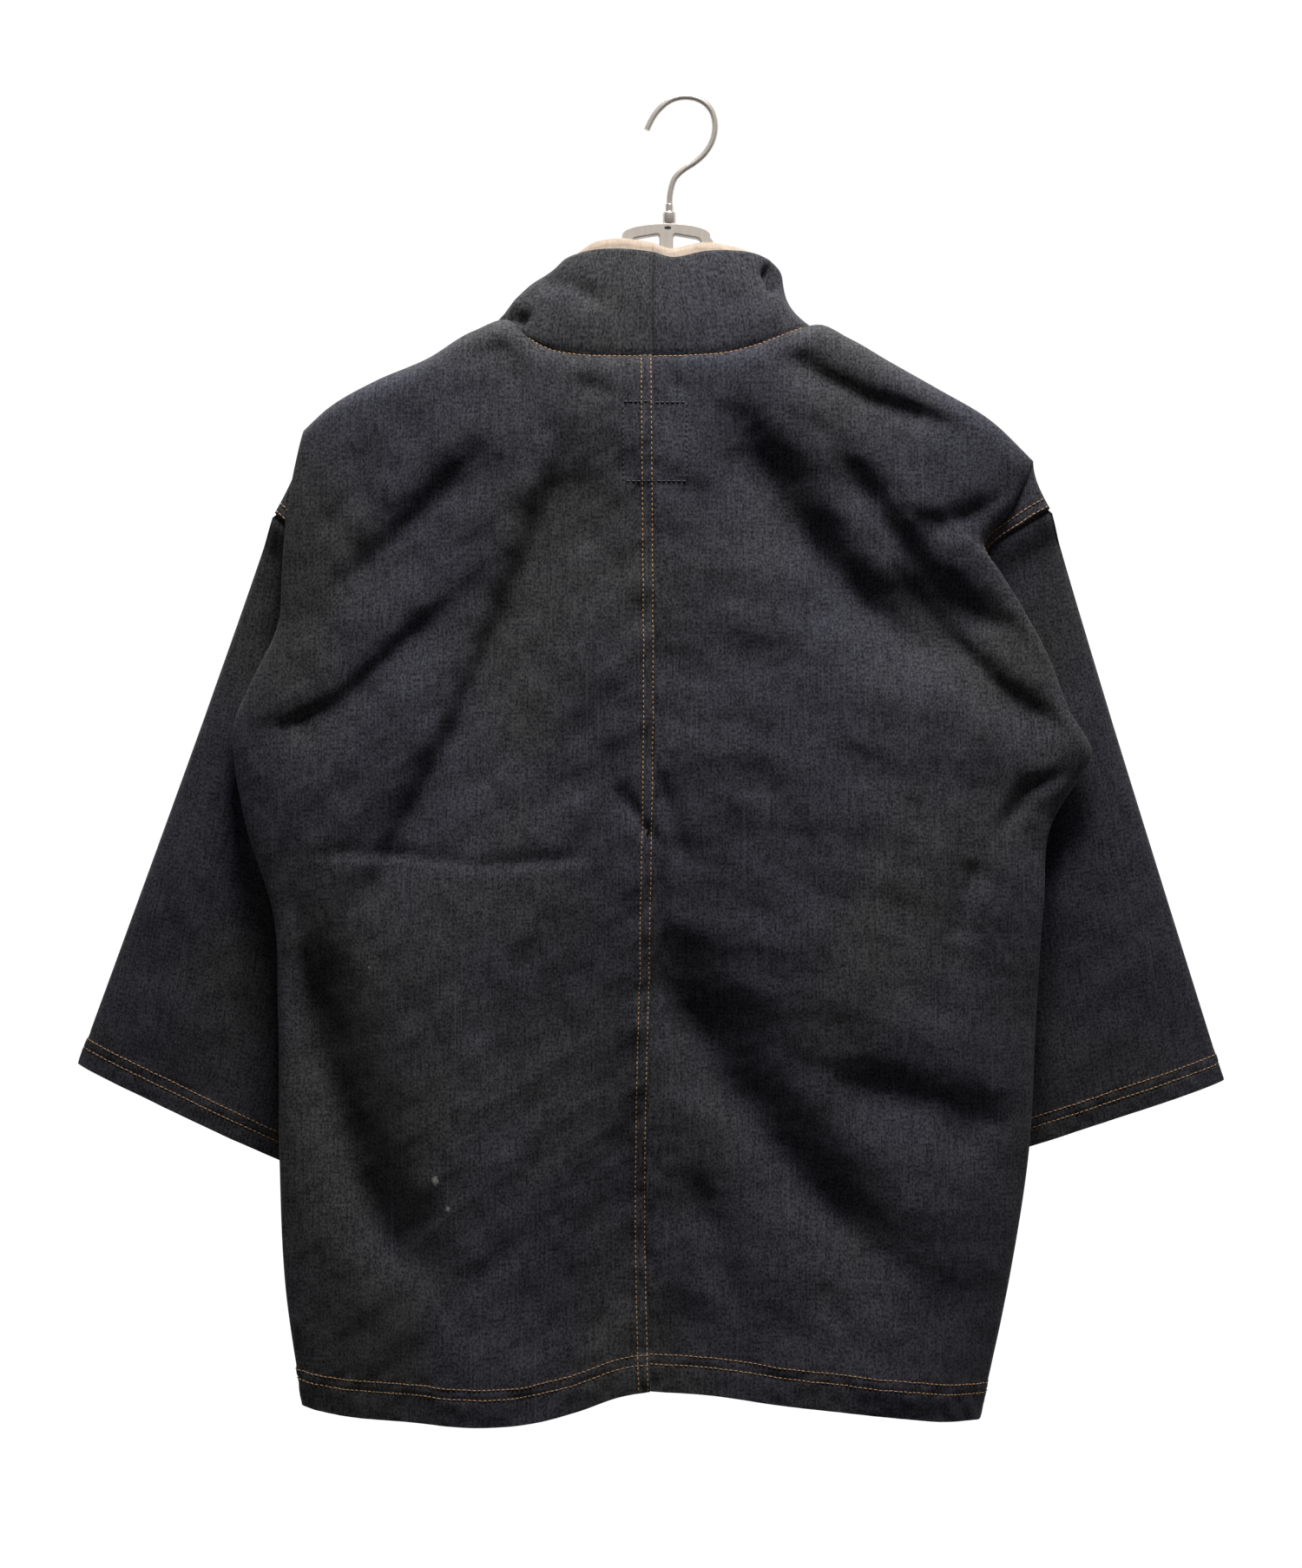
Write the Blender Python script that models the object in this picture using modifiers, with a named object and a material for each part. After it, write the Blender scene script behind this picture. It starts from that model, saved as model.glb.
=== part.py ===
"""Denim kimono-style jacket hanging on a flat hanger from its wire hook.

The back of the garment faces -Y, its open front faces +Y and +Z is up. The origin is
the point inside the hook's crown that rests on a rail. Lists of places are in
millimetres, as (x, z) in the hanger's plane or as (x, y, z), and MM turns them into metres.
"""
import math

import bmesh
import bpy
import numpy as np

MM = 0.001

# Cloth walls and the clearance that separate pieces keep
CLOTH = 1.3
BAND_CLOTH = 1.8
FACING_CLOTH = 1.0
TURNED_CLOTH = 2.6
SEAM_GAP = 0.35
RIDGE_GAP = 0.5
BAND_CLEAR = 1.6
FRONT_BAND_CLEAR = 1.05
SLEEVE_CLEAR_ACROSS = 1.75
SLEEVE_CLEAR_BACK = 1.05
HEM_TURN = 26.0
CUFF_TURN = 20.0
# Columns of a back panel, from its centre, that lie in the felled seam
FELL_COLUMNS = 2

# The viewer's distance and line of sight, by which near cloth is drawn in to true size
VIEW_DISTANCE = 1800.0
NEAR_SHOULDER = 8.0
VIEW_X = -19.0
VIEW_Z = -449.0

# Depths of the hanging body, measured from the hanger's plane
NECK_DEPTH = 20.0
BACK_DEPTH_TOP = 23.0
BACK_DEPTH_WAIST = 25.0
BACK_DEPTH_HEM = 15.0
HEM_LOBE_DEPTH = 44.0
HEM_LOBE_START = 0.28
FRONT_DEPTHS = (18.0, 36.0, 44.0)
FRONT_SLACK = 6.0
RIDGE_DROP = 14.0
WAIST = 0.45
CHEST = 0.25
NECK_SQUARENESS = 2.5
SIDE_SQUARENESS = 3.2
FRONT_SQUARENESS = 3.0
# The front leaves the band over this share of its width
BAND_EASE = 0.25
PANEL_DROP = 650.0
# Folds start this far below the shoulder's ridge
FOLD_START = 60.0

# Hem lobes that stand towards the viewer: place, half width, share of HEM_LOBE_DEPTH
HEM_LOBES = ((-150.0, 62.0, 1.0), (150.0, 66.0, 0.95))

CENTRE_BACK = ((-18, -169), (-17, -277), (-17, -448), (-20, -590), (-22, -733), (-20, -846))

# Left side, read from the centre back outwards
NECK_LEFT = ((-18, -169), (-43, -169), (-69, -168), (-85, -165), (-97, -159), (-106, -150),
             (-110, -146))
RIDGE_LEFT = ((-110, -146), (-135, -152), (-165, -170), (-200, -185), (-230, -202), (-247, -217))
HEM_LEFT = ((-20, -846), (-40, -850), (-66, -859), (-96, -867), (-132, -870), (-178, -866),
            (-220, -862), (-248, -856))
# The fold at the body's side, with its depth, and the seam that lies behind it
EDGE_LEFT = ((-247, -5, -217), (-254, -6, -250), (-258, -6, -275), (-261, -4, -310),
             (-264, -2, -345), (-281, 0, -381), (-293, 0, -410), (-292, 0, -440),
             (-289, 0, -458), (-284, 0, -480), (-268, 0, -530), (-264, 0, -600), (-263, 0, -696),
             (-259, 0, -780), (-248, 0, -856))
SEAM_LEFT = ((-266, -5, -271), (-257, -5, -281), (-252, -1, -296), (-250, 3, -322),
             (-251, 6, -350), (-256, 8, -386), (-259, 9, -418), (-257, 10, -443),
             (-253, 10, -460), (-250, 10, -482), (-246, 10, -532), (-243, 10, -600),
             (-241, 10, -696), (-240, 10, -779), (-236, 10, -854))
FRONT_SEAM_LEFT = ((-266, 9, -271), (-262, 14, -284), (-258, 20, -300), (-255, 26, -325),
                   (-254, 30, -352), (-257, 32, -386), (-259, 27, -418), (-257, 14, -443),
                   (-253, 10, -460), (-250, 10, -482), (-246, 10, -532), (-243, 10, -600),
                   (-241, 10, -696), (-240, 10, -779), (-236, 10, -854))

# Right side, with the pinch under the shoulder and the pointed underarm
NECK_RIGHT = ((-18, -169), (8, -168.5), (32, -166.5), (50, -162), (66, -156), (80, -151),
              (89, -148))
RIDGE_RIGHT = ((89, -148), (111, -157), (137, -172), (169, -190), (203, -210), (232, -237))
HEM_RIGHT = ((-20, -846), (22, -849), (63, -855), (107, -860), (146, -864), (174, -866),
             (197, -864))
EDGE_RIGHT = ((232, -5, -237), (218, -5, -268), (199, -6, -294), (209, -5, -309),
              (223, -3, -331), (241, 0, -363), (255, 0, -399), (270, 0, -432),
              (259, 0, -450), (247, 0, -469), (239, 0, -530), (234, 0, -602), (229, 0, -692),
              (217, 0, -770), (197, 0, -864))
SEAM_RIGHT = ((243, -5, -268), (226, -4, -278), (202, 0, -296), (200, 3, -309),
              (203, 6, -335), (209, 8, -368), (213, 9, -405), (213, 10, -440),
              (210, 10, -455), (206, 10, -475), (202, 10, -532), (200, 10, -602),
              (198, 10, -692), (194, 10, -770), (184, 10, -860))
FRONT_SEAM_RIGHT = ((243, 9, -268), (237, 14, -281), (230, 20, -297), (225, 26, -315),
                    (220, 30, -338), (217, 31, -370), (215, 26, -405), (213, 14, -440),
                    (210, 10, -455), (206, 10, -475), (202, 10, -532), (200, 10, -602),
                    (198, 10, -692), (194, 10, -770), (184, 10, -860))
UNDERARM_KNOT = 7

# The band collar's seam from the centre back round the neck and down the front
BAND_SEAM_FRONT_LEFT = ((-113, 10, -160), (-110, 20, -185), (-100, 31, -235), (-86, 38, -300),
                        (-79, 41, -360), (-78, 42, -480), (-78, 43, -600), (-78, 44, -725),
                        (-78, 45, -850))
BAND_EDGE_LEFT = ((-18, -13, -101), (-36, -12, -99), (-53, -10, -99), (-66, -6, -101),
                  (-76, 0, -104), (-80, 6, -108), (-82, 12, -114), (-80, 22, -130),
                  (-72, 32, -160), (-52, 42, -225), (-33, 46, -300), (-25, 47, -360),
                  (-24, 47, -480), (-24, 47, -600), (-24, 48, -725), (-24, 49, -850))
BAND_BULGE_LEFT = ((0, -3, 0), (0, -3, 0), (-1, -4, 0), (-4, -5, 0), (-8, -4, 0), (-11, -2, 1),
                   (-12, 0, 1), (-9, 4, 0), (-5, 6, 0), (-2, 5, 0), (0, 4, 0), (0, 3, 0),
                   (0, 3, 0), (0, 3, 0), (0, 3, 0), (0, 3, 0))
BAND_SEAM_FRONT_RIGHT = ((90, 10, -162), (86, 20, -187), (70, 31, -235), (52, 38, -300),
                         (44, 41, -360), (42, 42, -480), (42, 43, -600), (42, 44, -725),
                         (42, 45, -850))
BAND_EDGE_RIGHT = ((-18, -13, -101), (0, -12, -103), (20, -10, -100), (36, -6, -100),
                   (48, 0, -101), (56, 6, -105), (61, 12, -112), (58, 22, -130),
                   (48, 32, -160), (21, 42, -225), (-1, 46, -300), (-10, 47, -360),
                   (-12, 47, -480), (-12, 47, -600), (-12, 48, -725), (-12, 49, -850))
BAND_BULGE_RIGHT = ((0, -3, 0), (0, -3, 0), (1, -4, 0), (2, -5, 0), (3, -4, 0), (4, -2, 0),
                    (5, 1, 0), (5, 4, 0), (4, 5, 0), (2, 5, 0), (0, 4, 0), (0, 3, 0),
                    (0, 3, 0), (0, 3, 0), (0, 3, 0), (0, 3, 0))
NECK_KNOTS = 7
FACING_END_KNOT = 7.6
# Where the facing starts on the band's width, knot by knot
FACING_FOOT = (0.14, 0.14, 0.15, 0.2, 0.3, 0.36, 0.38, 0.38, 0.38)
FACING_BAND_WIDTH = 68.0
# How far the facing stands above the denim, knot by knot
FACING_PROUD = (7, 7.5, 7, 3, -1, -3, -4, -5, -5)

# Sleeves: cuff corners, and the lens that the cuff opens to
CUFF_TOP_LEFT = (-402, -637)
CUFF_FOOT_LEFT = (-239, -713)
CUFF_TOP_RIGHT = (364, -648)
CUFF_FOOT_RIGHT = (186, -706)
CUFF_CENTRE_Y = 46.0
CUFF_HALF_DEPTH = 16.0
SLEEVE_SWELL = 7.0
# How soon the sleeve falls back behind the body's side fold
SLEEVE_FALL = 0.55
# The shares of the armhole over which the sleeve's front layer takes and ends its own clearance
FRONT_LAYER_STARTS = 0.4
FRONT_LAYER_ENDS = 0.04
# The underfold first leaves the side seam outwards, then hangs in behind the body
UNDERFOLD_LEAVES = 3.0
UNDERFOLD_LEFT_BY = 0.04
UNDERFOLD_RETURNS = (0.06, 0.2)
UNDERFOLD_BOW = 5.0

# Folds of the back: path, half width, depth away from the viewer
BACK_FOLDS = (
    (((-70, -230), (-101, -327), (-133, -392), (-180, -480)), 13, 6),
    (((-133, -237), (-184, -300), (-230, -338), (-290, -413)), 19, 8),
    (((-146, -331), (-202, -379), (-259, -418)), 12, 5),
    (((-265, -525), (-245, -589), (-220, -647), (-203, -713), (-190, -746), (-157, -768),
      (-132, -754)), 20, 9),
    (((31, -196), (72, -260), (97, -300), (156, -361)), 15, 6),
    (((108, -235), (151, -286), (196, -329), (212, -343)), 12, 8),
    (((133, -300), (189, -359), (246, -411), (259, -424)), 13, 9),
    (((56, -172), (88, -187), (122, -198), (178, -214)), 11, 4),
    (((162, -275), (205, -271), (226, -252)), 9, 5),
    (((-11, -591), (22, -611), (58, -669), (96, -713), (132, -741), (152, -746)), 24, 11),
    (((107, -636), (152, -627), (201, -647)), 16, 6),
    (((-1, -683), (16, -724), (35, -793), (50, -815)), 16, 5),
)
FRONT_FOLDS = (
    (((-95, -330), (-150, -380), (-215, -425)), 16, 6),
    (((-120, -520), (-140, -650), (-150, -780)), 22, 7),
    (((60, -330), (120, -380), (190, -420)), 16, 6),
    (((90, -520), (115, -650), (125, -780)), 22, 7),
)
# Drag folds of a sleeve, as shares of its length and of its width from the outer edge
SLEEVE_FOLDS = (
    (((0.10, 0.30), (0.32, 0.62), (0.55, 0.90)), 0.09, 5),
    (((0.34, 0.28), (0.60, 0.52), (0.88, 0.66)), 0.08, 4),
)

# Hanger, hook and ferrule
HANGER_THICKNESS = 8.0
HANGER_CLEARANCE = 1.3
HANGER_ARM_HEIGHT = 24.0
HANGER_TIP_HEIGHT = 15.0
# The arm's top line between the arch and the shoulder's cloth, clear of the collar
HANGER_NECK_LEFT = ((-72, -132), (-97, -153), (-112, -154))
HANGER_NECK_RIGHT = ((50, -130), (76, -155), (91, -158))
# The stretch of each shoulder, from the middle out, that an arm lies under
ARM_REACH_LEFT = (118, 242)
ARM_REACH_RIGHT = (97, 220)
ARCH_HALF_WIDTH = 29.0
ARCH_X = -9.0
ARCH_TOP = -81.5
ARCH_SPRING = -91.0
ARCH_SQUARENESS = 0.7
ARCH_CORNERS = 9
ARCH_BAND = 7.0
# The underside between the arms, and a window's corners, each from the post outwards
UNDERSIDE = ((34, -128), (0, -122), (-34, -128))
WINDOW_DROPS = (0, 3, 14, 20)
WINDOW_FLARE = 3.0
POST_WIDTH = 9.0
STEM_X = -7.0
WIRE_RADIUS = 2.0
FERRULE_RADIUS = 4.3
FERRULE_HEIGHT = 9.0
HOOK_POINTS = 44
HOOK_ROUTE = ((-7, -72), (-6.2, -60), (-3.5, -51.5), (2, -46), (9, -41.5), (15.5, -36),
              (20, -29.5), (22.6, -22), (23, -15), (21, -7.5), (16.2, -1.8), (9.6, 1.3),
              (2, 2), (-5.4, 0.2), (-12.4, -4.8), (-18, -11.8), (-21.8, -19.6))

# Rows of a body panel: close together over the ridge, even down to the underarm and the hem
RIDGE_ROWS = (0.0, 0.0001, 0.0018, 0.0065, 0.015, 0.03)
FIRST_EVEN_ROW = 0.06
ARMHOLE_ROWS = 6
SIDE_ROWS = 16
UNDERARM_ROW = 0.955
# Columns of a body panel: shares of the neck seam, then of the shoulder's ridge
NECK_COLUMNS = (0.0, 0.06, 0.2, 0.38, 0.56, 0.72, 0.85, 0.94, 1.0)
RIDGE_COLUMNS = 9
# Above 1, columns crowd towards the shoulder's end, where the side folds under
COLUMN_CROWDING = 1.35
RETURN_COLUMNS = 3
SLEEVE_STATIONS = 14
FIRST_SLEEVE_STATION = 0.035
BAND_FRONT_STATIONS = 16
BAND_ROWS = 5
FACING_STATIONS = 14

COLOURS = {
    "denim": ((0.030, 0.033, 0.043), 0.85, 0.0),
    "facing": ((0.60, 0.49, 0.37), 0.9, 0.0),
    "hanger": ((0.42, 0.39, 0.35), 0.45, 0.0),
    "steel": ((0.55, 0.54, 0.52), 0.32, 1.0),
}


def clear_scene():
    for item in list(bpy.data.objects):
        bpy.data.objects.remove(item, do_unlink=True)


def make_material(name):
    colour, roughness, metallic = COLOURS[name]
    material = bpy.data.materials.new(name)
    material.use_nodes = True
    shader = material.node_tree.nodes["Principled BSDF"]
    shader.inputs["Base Color"].default_value = (*colour, 1.0)
    shader.inputs["Roughness"].default_value = roughness
    shader.inputs["Metallic"].default_value = metallic
    return material


def through(knots, values, at):
    """A smooth curve through values at knots, by cubic Hermite pieces."""
    knots = np.asarray(knots, float)
    values = np.asarray(values, float)
    at = np.clip(np.asarray(at, float), knots[0], knots[-1])
    slopes = np.gradient(values, knots, axis=0)
    piece = np.clip(np.searchsorted(knots, at, side="right") - 1, 0, len(knots) - 2)
    span = knots[piece + 1] - knots[piece]
    t = (at - knots[piece]) / span
    extra = (1,) * (values.ndim - 1)
    t = t.reshape(t.shape + extra)
    span = span.reshape(span.shape + extra)
    start, end = values[piece], values[piece + 1]
    lead_out, lead_in = slopes[piece] * span, slopes[piece + 1] * span
    return ((2 * t ** 3 - 3 * t ** 2 + 1) * start + (t ** 3 - 2 * t ** 2 + t) * lead_out
            + (3 * t ** 2 - 2 * t ** 3) * end + (t ** 3 - t ** 2) * lead_in)


def along(points, share):
    """Points of a smooth path at shares of its length."""
    points = np.asarray(points, float)
    steps = np.linalg.norm(np.diff(points, axis=0), axis=1)
    knots = np.concatenate(([0.0], np.cumsum(steps)))
    return through(knots / knots[-1], points, share)


def down_knots(points):
    """Shares of the drop from a side line's top to its hem, point by point."""
    heights = np.asarray(points, float)[:, -1]
    return (heights - heights[0]) / (heights[-1] - heights[0])


def armhole_rows(edge):
    """Shares of the panel's drop for the rows that end on the armhole."""
    underarm = down_knots(edge)[UNDERARM_KNOT]
    even = np.linspace(FIRST_EVEN_ROW, underarm, ARMHOLE_ROWS)
    return np.concatenate((RIDGE_ROWS, even[:-1], (underarm * UNDERARM_ROW, underarm)))


def rows(edge):
    upper = armhole_rows(edge)
    return np.concatenate((upper, np.linspace(upper[-1], 1.0, SIDE_ROWS + 1)[1:]))


def ridge_round(v):
    """How far a row has turned from the shoulder's ridge into its hanging face."""
    return rounded(v * PANEL_DROP, RIDGE_DROP)


def side_line(edge, line, v):
    """Points of a line at the body's side, in step with the rows of the side fold."""
    points = through(down_knots(edge), line, v)
    points[:, 1] *= ridge_round(v)
    return points


def smoothstep(value):
    value = np.clip(value, 0.0, 1.0)
    return value * value * (3.0 - 2.0 * value)


def rounded(distance, reach):
    """From 0 at an edge to 1 at reach, leaving the edge square to it, as a fold does."""
    share = np.clip(distance / reach, 0.0, 1.0)
    return np.sqrt(np.clip(1.0 - (1.0 - share) ** 2, 0.0, 1.0))


def groove(x, z, path, width):
    """A soft trough of depth 1 along a path, fading out at both ends."""
    path = np.asarray(path, float)
    starts, ends = path[:-1], path[1:]
    lengths = np.linalg.norm(ends - starts, axis=1)
    before = np.concatenate(([0.0], np.cumsum(lengths)))
    nearest = np.full(x.shape, np.inf)
    place = np.zeros(x.shape)
    for start, end, length, walked in zip(starts, ends, lengths, before):
        way = (end - start) / length
        run = np.clip((x - start[0]) * way[0] + (z - start[1]) * way[1], 0.0, length)
        off = np.hypot(x - start[0] - way[0] * run, z - start[1] - way[1] * run)
        closer = off < nearest
        nearest = np.where(closer, off, nearest)
        place = np.where(closer, (walked + run) / before[-1], place)
    ends_fade = smoothstep(place / 0.22) * smoothstep((1.0 - place) / 0.22)
    return np.exp(-(nearest / width) ** 2) * (0.15 + 0.85 * ends_fade)


def fold_depth(x, z, folds):
    total = np.zeros(x.shape)
    for path, width, depth in folds:
        total += depth * groove(x, z, path, width)
    return total


def coons(top, bottom, inner, outer, u, v):
    """A patch between four lines, from their points at each u and v."""
    u = u[None, :, None]
    v = v[:, None, None]
    ruled_down = (1 - v) * top[None] + v * bottom[None]
    ruled_across = (1 - u) * inner[:, None] + u * outer[:, None]
    corners = ((1 - u) * (1 - v) * top[0] + u * (1 - v) * top[-1]
               + (1 - u) * v * bottom[0] + u * v * bottom[-1])
    return ruled_down + ruled_across - corners


def draw_in(points):
    """Cloth nearer the viewer than the hanger's shoulders looks larger than it is."""
    scale = 1.0 + np.minimum(points[..., 1] + NEAR_SHOULDER, 0.0) / VIEW_DISTANCE
    points[..., 0] = VIEW_X + (points[..., 0] - VIEW_X) * scale
    points[..., 2] = VIEW_Z + (points[..., 2] - VIEW_Z) * scale
    return points


def path_length(points):
    return np.linalg.norm(np.diff(np.asarray(points, float), axis=0), axis=1).sum()


def neck_share(neck, ridge):
    """The neck seam's share of a panel's top line."""
    return path_length(neck) / path_length(neck + ridge[1:])


def ridge_shares(neck, ridge):
    """Shares of a panel's top line for its columns from the neck point to the shoulder."""
    even = np.linspace(0.0, 1.0, RIDGE_COLUMNS)
    start = neck_share(neck, ridge)
    return start + (1.0 - start) * (1.0 - (1.0 - even) ** COLUMN_CROWDING)


def back_shares(neck, ridge):
    around_neck = np.array(NECK_COLUMNS[:-1]) * neck_share(neck, ridge)
    return np.concatenate((around_neck, ridge_shares(neck, ridge)))


def neck_depth(share):
    """How far behind the ridge the neck seam lies, at a share of its own length."""
    return -NECK_DEPTH * np.sqrt(np.clip(1.0 - share ** NECK_SQUARENESS, 0.0, 1.0))


def back_panel(neck, ridge, hem, edge, seam):
    """Half the back: from the centre back seam to the side fold and on to the seam behind it."""
    u = back_shares(neck, ridge)
    v = rows(edge)
    top = along(neck + ridge[1:], u)
    bottom = along(hem, u)
    edge_points = through(down_knots(edge), edge, v)
    inner = through(down_knots(CENTRE_BACK), CENTRE_BACK, v)
    flat = coons(top, bottom, inner, edge_points[:, [0, 2]], u, v)
    x, z = flat[..., 0], flat[..., 1]

    u_grid = u[None, :]
    v_grid = v[:, None]
    y_top = neck_depth(u_grid / neck_share(neck, ridge))
    side = np.sqrt(np.clip(1.0 - u_grid ** SIDE_SQUARENESS, 0.0, 1.0))
    base = np.interp(v_grid, (0.0, WAIST, 1.0), (BACK_DEPTH_TOP, BACK_DEPTH_WAIST, BACK_DEPTH_HEM))
    swell = smoothstep((v_grid - HEM_LOBE_START) / (1.0 - HEM_LOBE_START))
    lobes = sum(HEM_LOBE_DEPTH * share * np.exp(-((x - place) / width) ** 2)
                for place, width, share in HEM_LOBES)
    y_full = edge_points[:, 1][:, None] - side * (base + swell * lobes)
    folds = fold_depth(x, z, BACK_FOLDS) * np.sqrt(side) * rounded(v_grid * PANEL_DROP, FOLD_START)
    y = y_top + (y_full + folds - y_top) * ridge_round(v_grid)
    main = draw_in(np.stack((x, y, z), axis=-1))
    return np.concatenate((main, side_return(edge, seam, v)), axis=1)


def side_return(edge, seam, v):
    """The strip from the side fold round to the seam behind it."""
    edge_points = side_line(edge, edge, v)[:, None]
    seam_points = side_line(edge, seam, v)[:, None]
    turn = (np.arange(1, RETURN_COLUMNS + 1) / RETURN_COLUMNS)[None, :, None]
    across = 1.0 - np.cos(turn * math.pi / 2)
    return edge_points + (seam_points - edge_points) * np.concatenate((across, turn, turn), axis=2)


def front_panel(neck, ridge, band_seam, edge, seam, front_seam, sign):
    """Half the front: from the collar band's seam to the side seam and the armhole."""
    v = rows(edge)
    shoulder = along(neck + ridge[1:], ridge_shares(neck, ridge))
    top = np.concatenate((shoulder, side_return(edge, seam, v)[0][:, [0, 2]]))
    walked = np.cumsum(np.linalg.norm(np.diff(top, axis=0), axis=1))
    u = np.concatenate(([0.0], walked / walked[-1]))
    side_points = side_line(edge, front_seam, v)
    side_points[:, 1] += SEAM_GAP
    last = NECK_KNOTS - 1 + len(band_seam)
    run = band_seam_points(neck, ridge, band_seam, np.linspace(NECK_KNOTS - 1, last, 300))
    drop = run[0, 2] + (run[-1, 2] - run[0, 2]) * v
    inner = np.stack([np.interp(-drop, -run[:, 2], run[:, axis]) for axis in range(3)], axis=-1)
    inner[:, 0] += sign * FRONT_BAND_CLEAR
    top[0, 0] = inner[0, 0]
    foot_in, foot_out = inner[-1], side_points[-1]
    bottom = np.stack((foot_in[0] + (foot_out[0] - foot_in[0]) * u,
                       foot_in[2] + (foot_out[2] - foot_in[2]) * u), axis=-1)
    flat = coons(top, bottom, inner[:, [0, 2]], side_points[:, [0, 2]], u, v)
    x, z = flat[..., 0], flat[..., 1]

    u_grid = u[None, :]
    v_grid = v[:, None]
    side = np.sqrt(np.clip(1.0 - u_grid ** FRONT_SQUARENESS, 0.0, 1.0))
    inner_y = inner[:, 1][:, None]
    outer_y = side_points[:, 1][:, None]
    face_y = np.interp(v_grid, (0.0, CHEST, 1.0), FRONT_DEPTHS)
    face_y = inner_y + (face_y - inner_y) * smoothstep(u_grid / BAND_EASE)
    slack = FRONT_SLACK * np.sin(math.pi * u_grid) ** 2
    y_full = outer_y + (face_y - outer_y) * side + slack
    folds = fold_depth(x, z, FRONT_FOLDS) * np.sqrt(side) * rounded(v_grid * PANEL_DROP, FOLD_START)
    lift = ridge_round(v_grid)
    lift = np.where(u_grid >= 1.0, 1.0, lift)
    y = RIDGE_GAP + (y_full - folds * np.sin(math.pi * u_grid) - RIDGE_GAP) * lift
    return np.stack((x, y, z), axis=-1)


def sleeve_tube(edge, seam, front_seam, cuff_top, cuff_foot, sign):
    """A sleeve: a flattened tube from the armhole's seam to the open cuff."""
    down = armhole_rows(edge)
    share = down / down[-1]
    back_line = side_line(edge, seam, down)
    front_line = side_line(edge, front_seam, down)
    back_line[:, 1] += SLEEVE_CLEAR_BACK
    taken = smoothstep(share / FRONT_LAYER_STARTS) * smoothstep((1 - share) / FRONT_LAYER_ENDS)
    front_line[:, 1] += (CLOTH + SEAM_GAP) * taken
    armhole = np.concatenate((back_line, front_line[-2:0:-1]))
    armhole[:, 0] += sign * SLEEVE_CLEAR_ACROSS
    ring_share = np.concatenate((share, share[-2:0:-1]))
    face = np.concatenate((np.full(len(share), -1.0), np.full(len(share) - 2, 1.0)))
    face *= np.sqrt(np.clip(4.0 * ring_share * (1.0 - ring_share), 0.0, 1.0))

    cuff_top = np.asarray(cuff_top, float)
    line = cuff_top + (np.asarray(cuff_foot, float) - cuff_top) * ring_share[:, None]
    cuff = np.stack((line[:, 0], CUFF_CENTRE_Y + CUFF_HALF_DEPTH * face, line[:, 1]), axis=-1)

    length = np.hypot(cuff_top[0] - seam[0][0], cuff_top[1] - seam[0][2])
    turn_share = 1.0 - CUFF_TURN / length
    even = np.linspace(0.0, 1.0, SLEEVE_STATIONS)
    t = np.sort(np.append(even, (FIRST_SLEEVE_STATION, turn_share)))[:, None]
    tube = armhole[None] * (1 - t[..., None]) + cuff[None] * t[..., None]
    tube[..., 1] = armhole[None, :, 1] + (cuff[None, :, 1] - armhole[None, :, 1]) * t ** SLEEVE_FALL
    along_sleeve = np.broadcast_to(t, tube.shape[:2])
    across_sleeve = np.broadcast_to(ring_share[None], tube.shape[:2])
    drag = np.zeros(tube.shape[:2])
    for path, width, depth in SLEEVE_FOLDS:
        drag += depth * groove(along_sleeve, across_sleeve, path, width)
    bow = np.sin(math.pi * t)
    tube[..., 1] += (SLEEVE_SWELL * bow ** 1.5 - drag) * face[None]
    starts, ends = UNDERFOLD_RETURNS
    leaving = smoothstep(t / UNDERFOLD_LEFT_BY) * smoothstep((ends - t) / (ends - starts))
    leaving *= UNDERFOLD_LEAVES
    tube[..., 0] += sign * (leaving - UNDERFOLD_BOW * bow) * ring_share[None] ** 2
    return tube


def neck_walk(neck):
    """Shares of the neck seam's length at its knots."""
    steps = np.linalg.norm(np.diff(np.asarray(neck, float), axis=0), axis=1)
    return np.concatenate(([0.0], np.cumsum(steps))) / steps.sum()


def band_seam_points(neck, ridge, band_seam, station):
    """The collar's seam at stations that count knots: round the neck, then down the front."""
    share = np.interp(station, np.arange(NECK_KNOTS), neck_walk(neck))
    flat = along(neck + ridge[1:], share * neck_share(neck, ridge))
    round_neck = np.stack((flat[:, 0], neck_depth(share), flat[:, 1]), axis=-1)
    run = np.asarray(((neck[-1][0], 0.0, neck[-1][1]),) + band_seam, float)
    down_front = through(np.arange(len(run)), run, station - (NECK_KNOTS - 1))
    return np.where((station <= NECK_KNOTS - 1)[:, None], round_neck, down_front)


def band_grid(neck, ridge, band_seam, band_edge, band_bulge, station, h):
    """Points of the band at stations along it and shares h of its width, one row of h each."""
    knots = np.arange(len(band_edge))
    seam = draw_in(band_seam_points(neck, ridge, band_seam, station))
    edge = draw_in(through(knots, band_edge, station))
    bulge = through(knots, band_bulge, station)
    way = edge - seam
    seam = seam + way / np.linalg.norm(way, axis=1)[:, None] * BAND_CLEAR
    h = h[..., None]
    arch = np.sin(math.pi * np.clip(h, 0.0, 1.0) ** 0.9)
    return seam[:, None] + (edge - seam)[:, None] * h + bulge[:, None] * arch


def collar_band(neck, ridge, band_seam, band_edge, band_bulge):
    """Half the standing collar, from the centre back to the front hem."""
    round_neck = np.interp(NECK_COLUMNS, neck_walk(neck), np.arange(NECK_KNOTS))
    down_front = np.linspace(NECK_KNOTS - 1, len(band_edge) - 1, BAND_FRONT_STATIONS)
    station = np.concatenate((round_neck, down_front[1:]))
    h = np.broadcast_to(np.linspace(0.0, 1.0, BAND_ROWS + 1), (len(station), BAND_ROWS + 1))
    return band_grid(neck, ridge, band_seam, band_edge, band_bulge, station, h)


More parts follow.
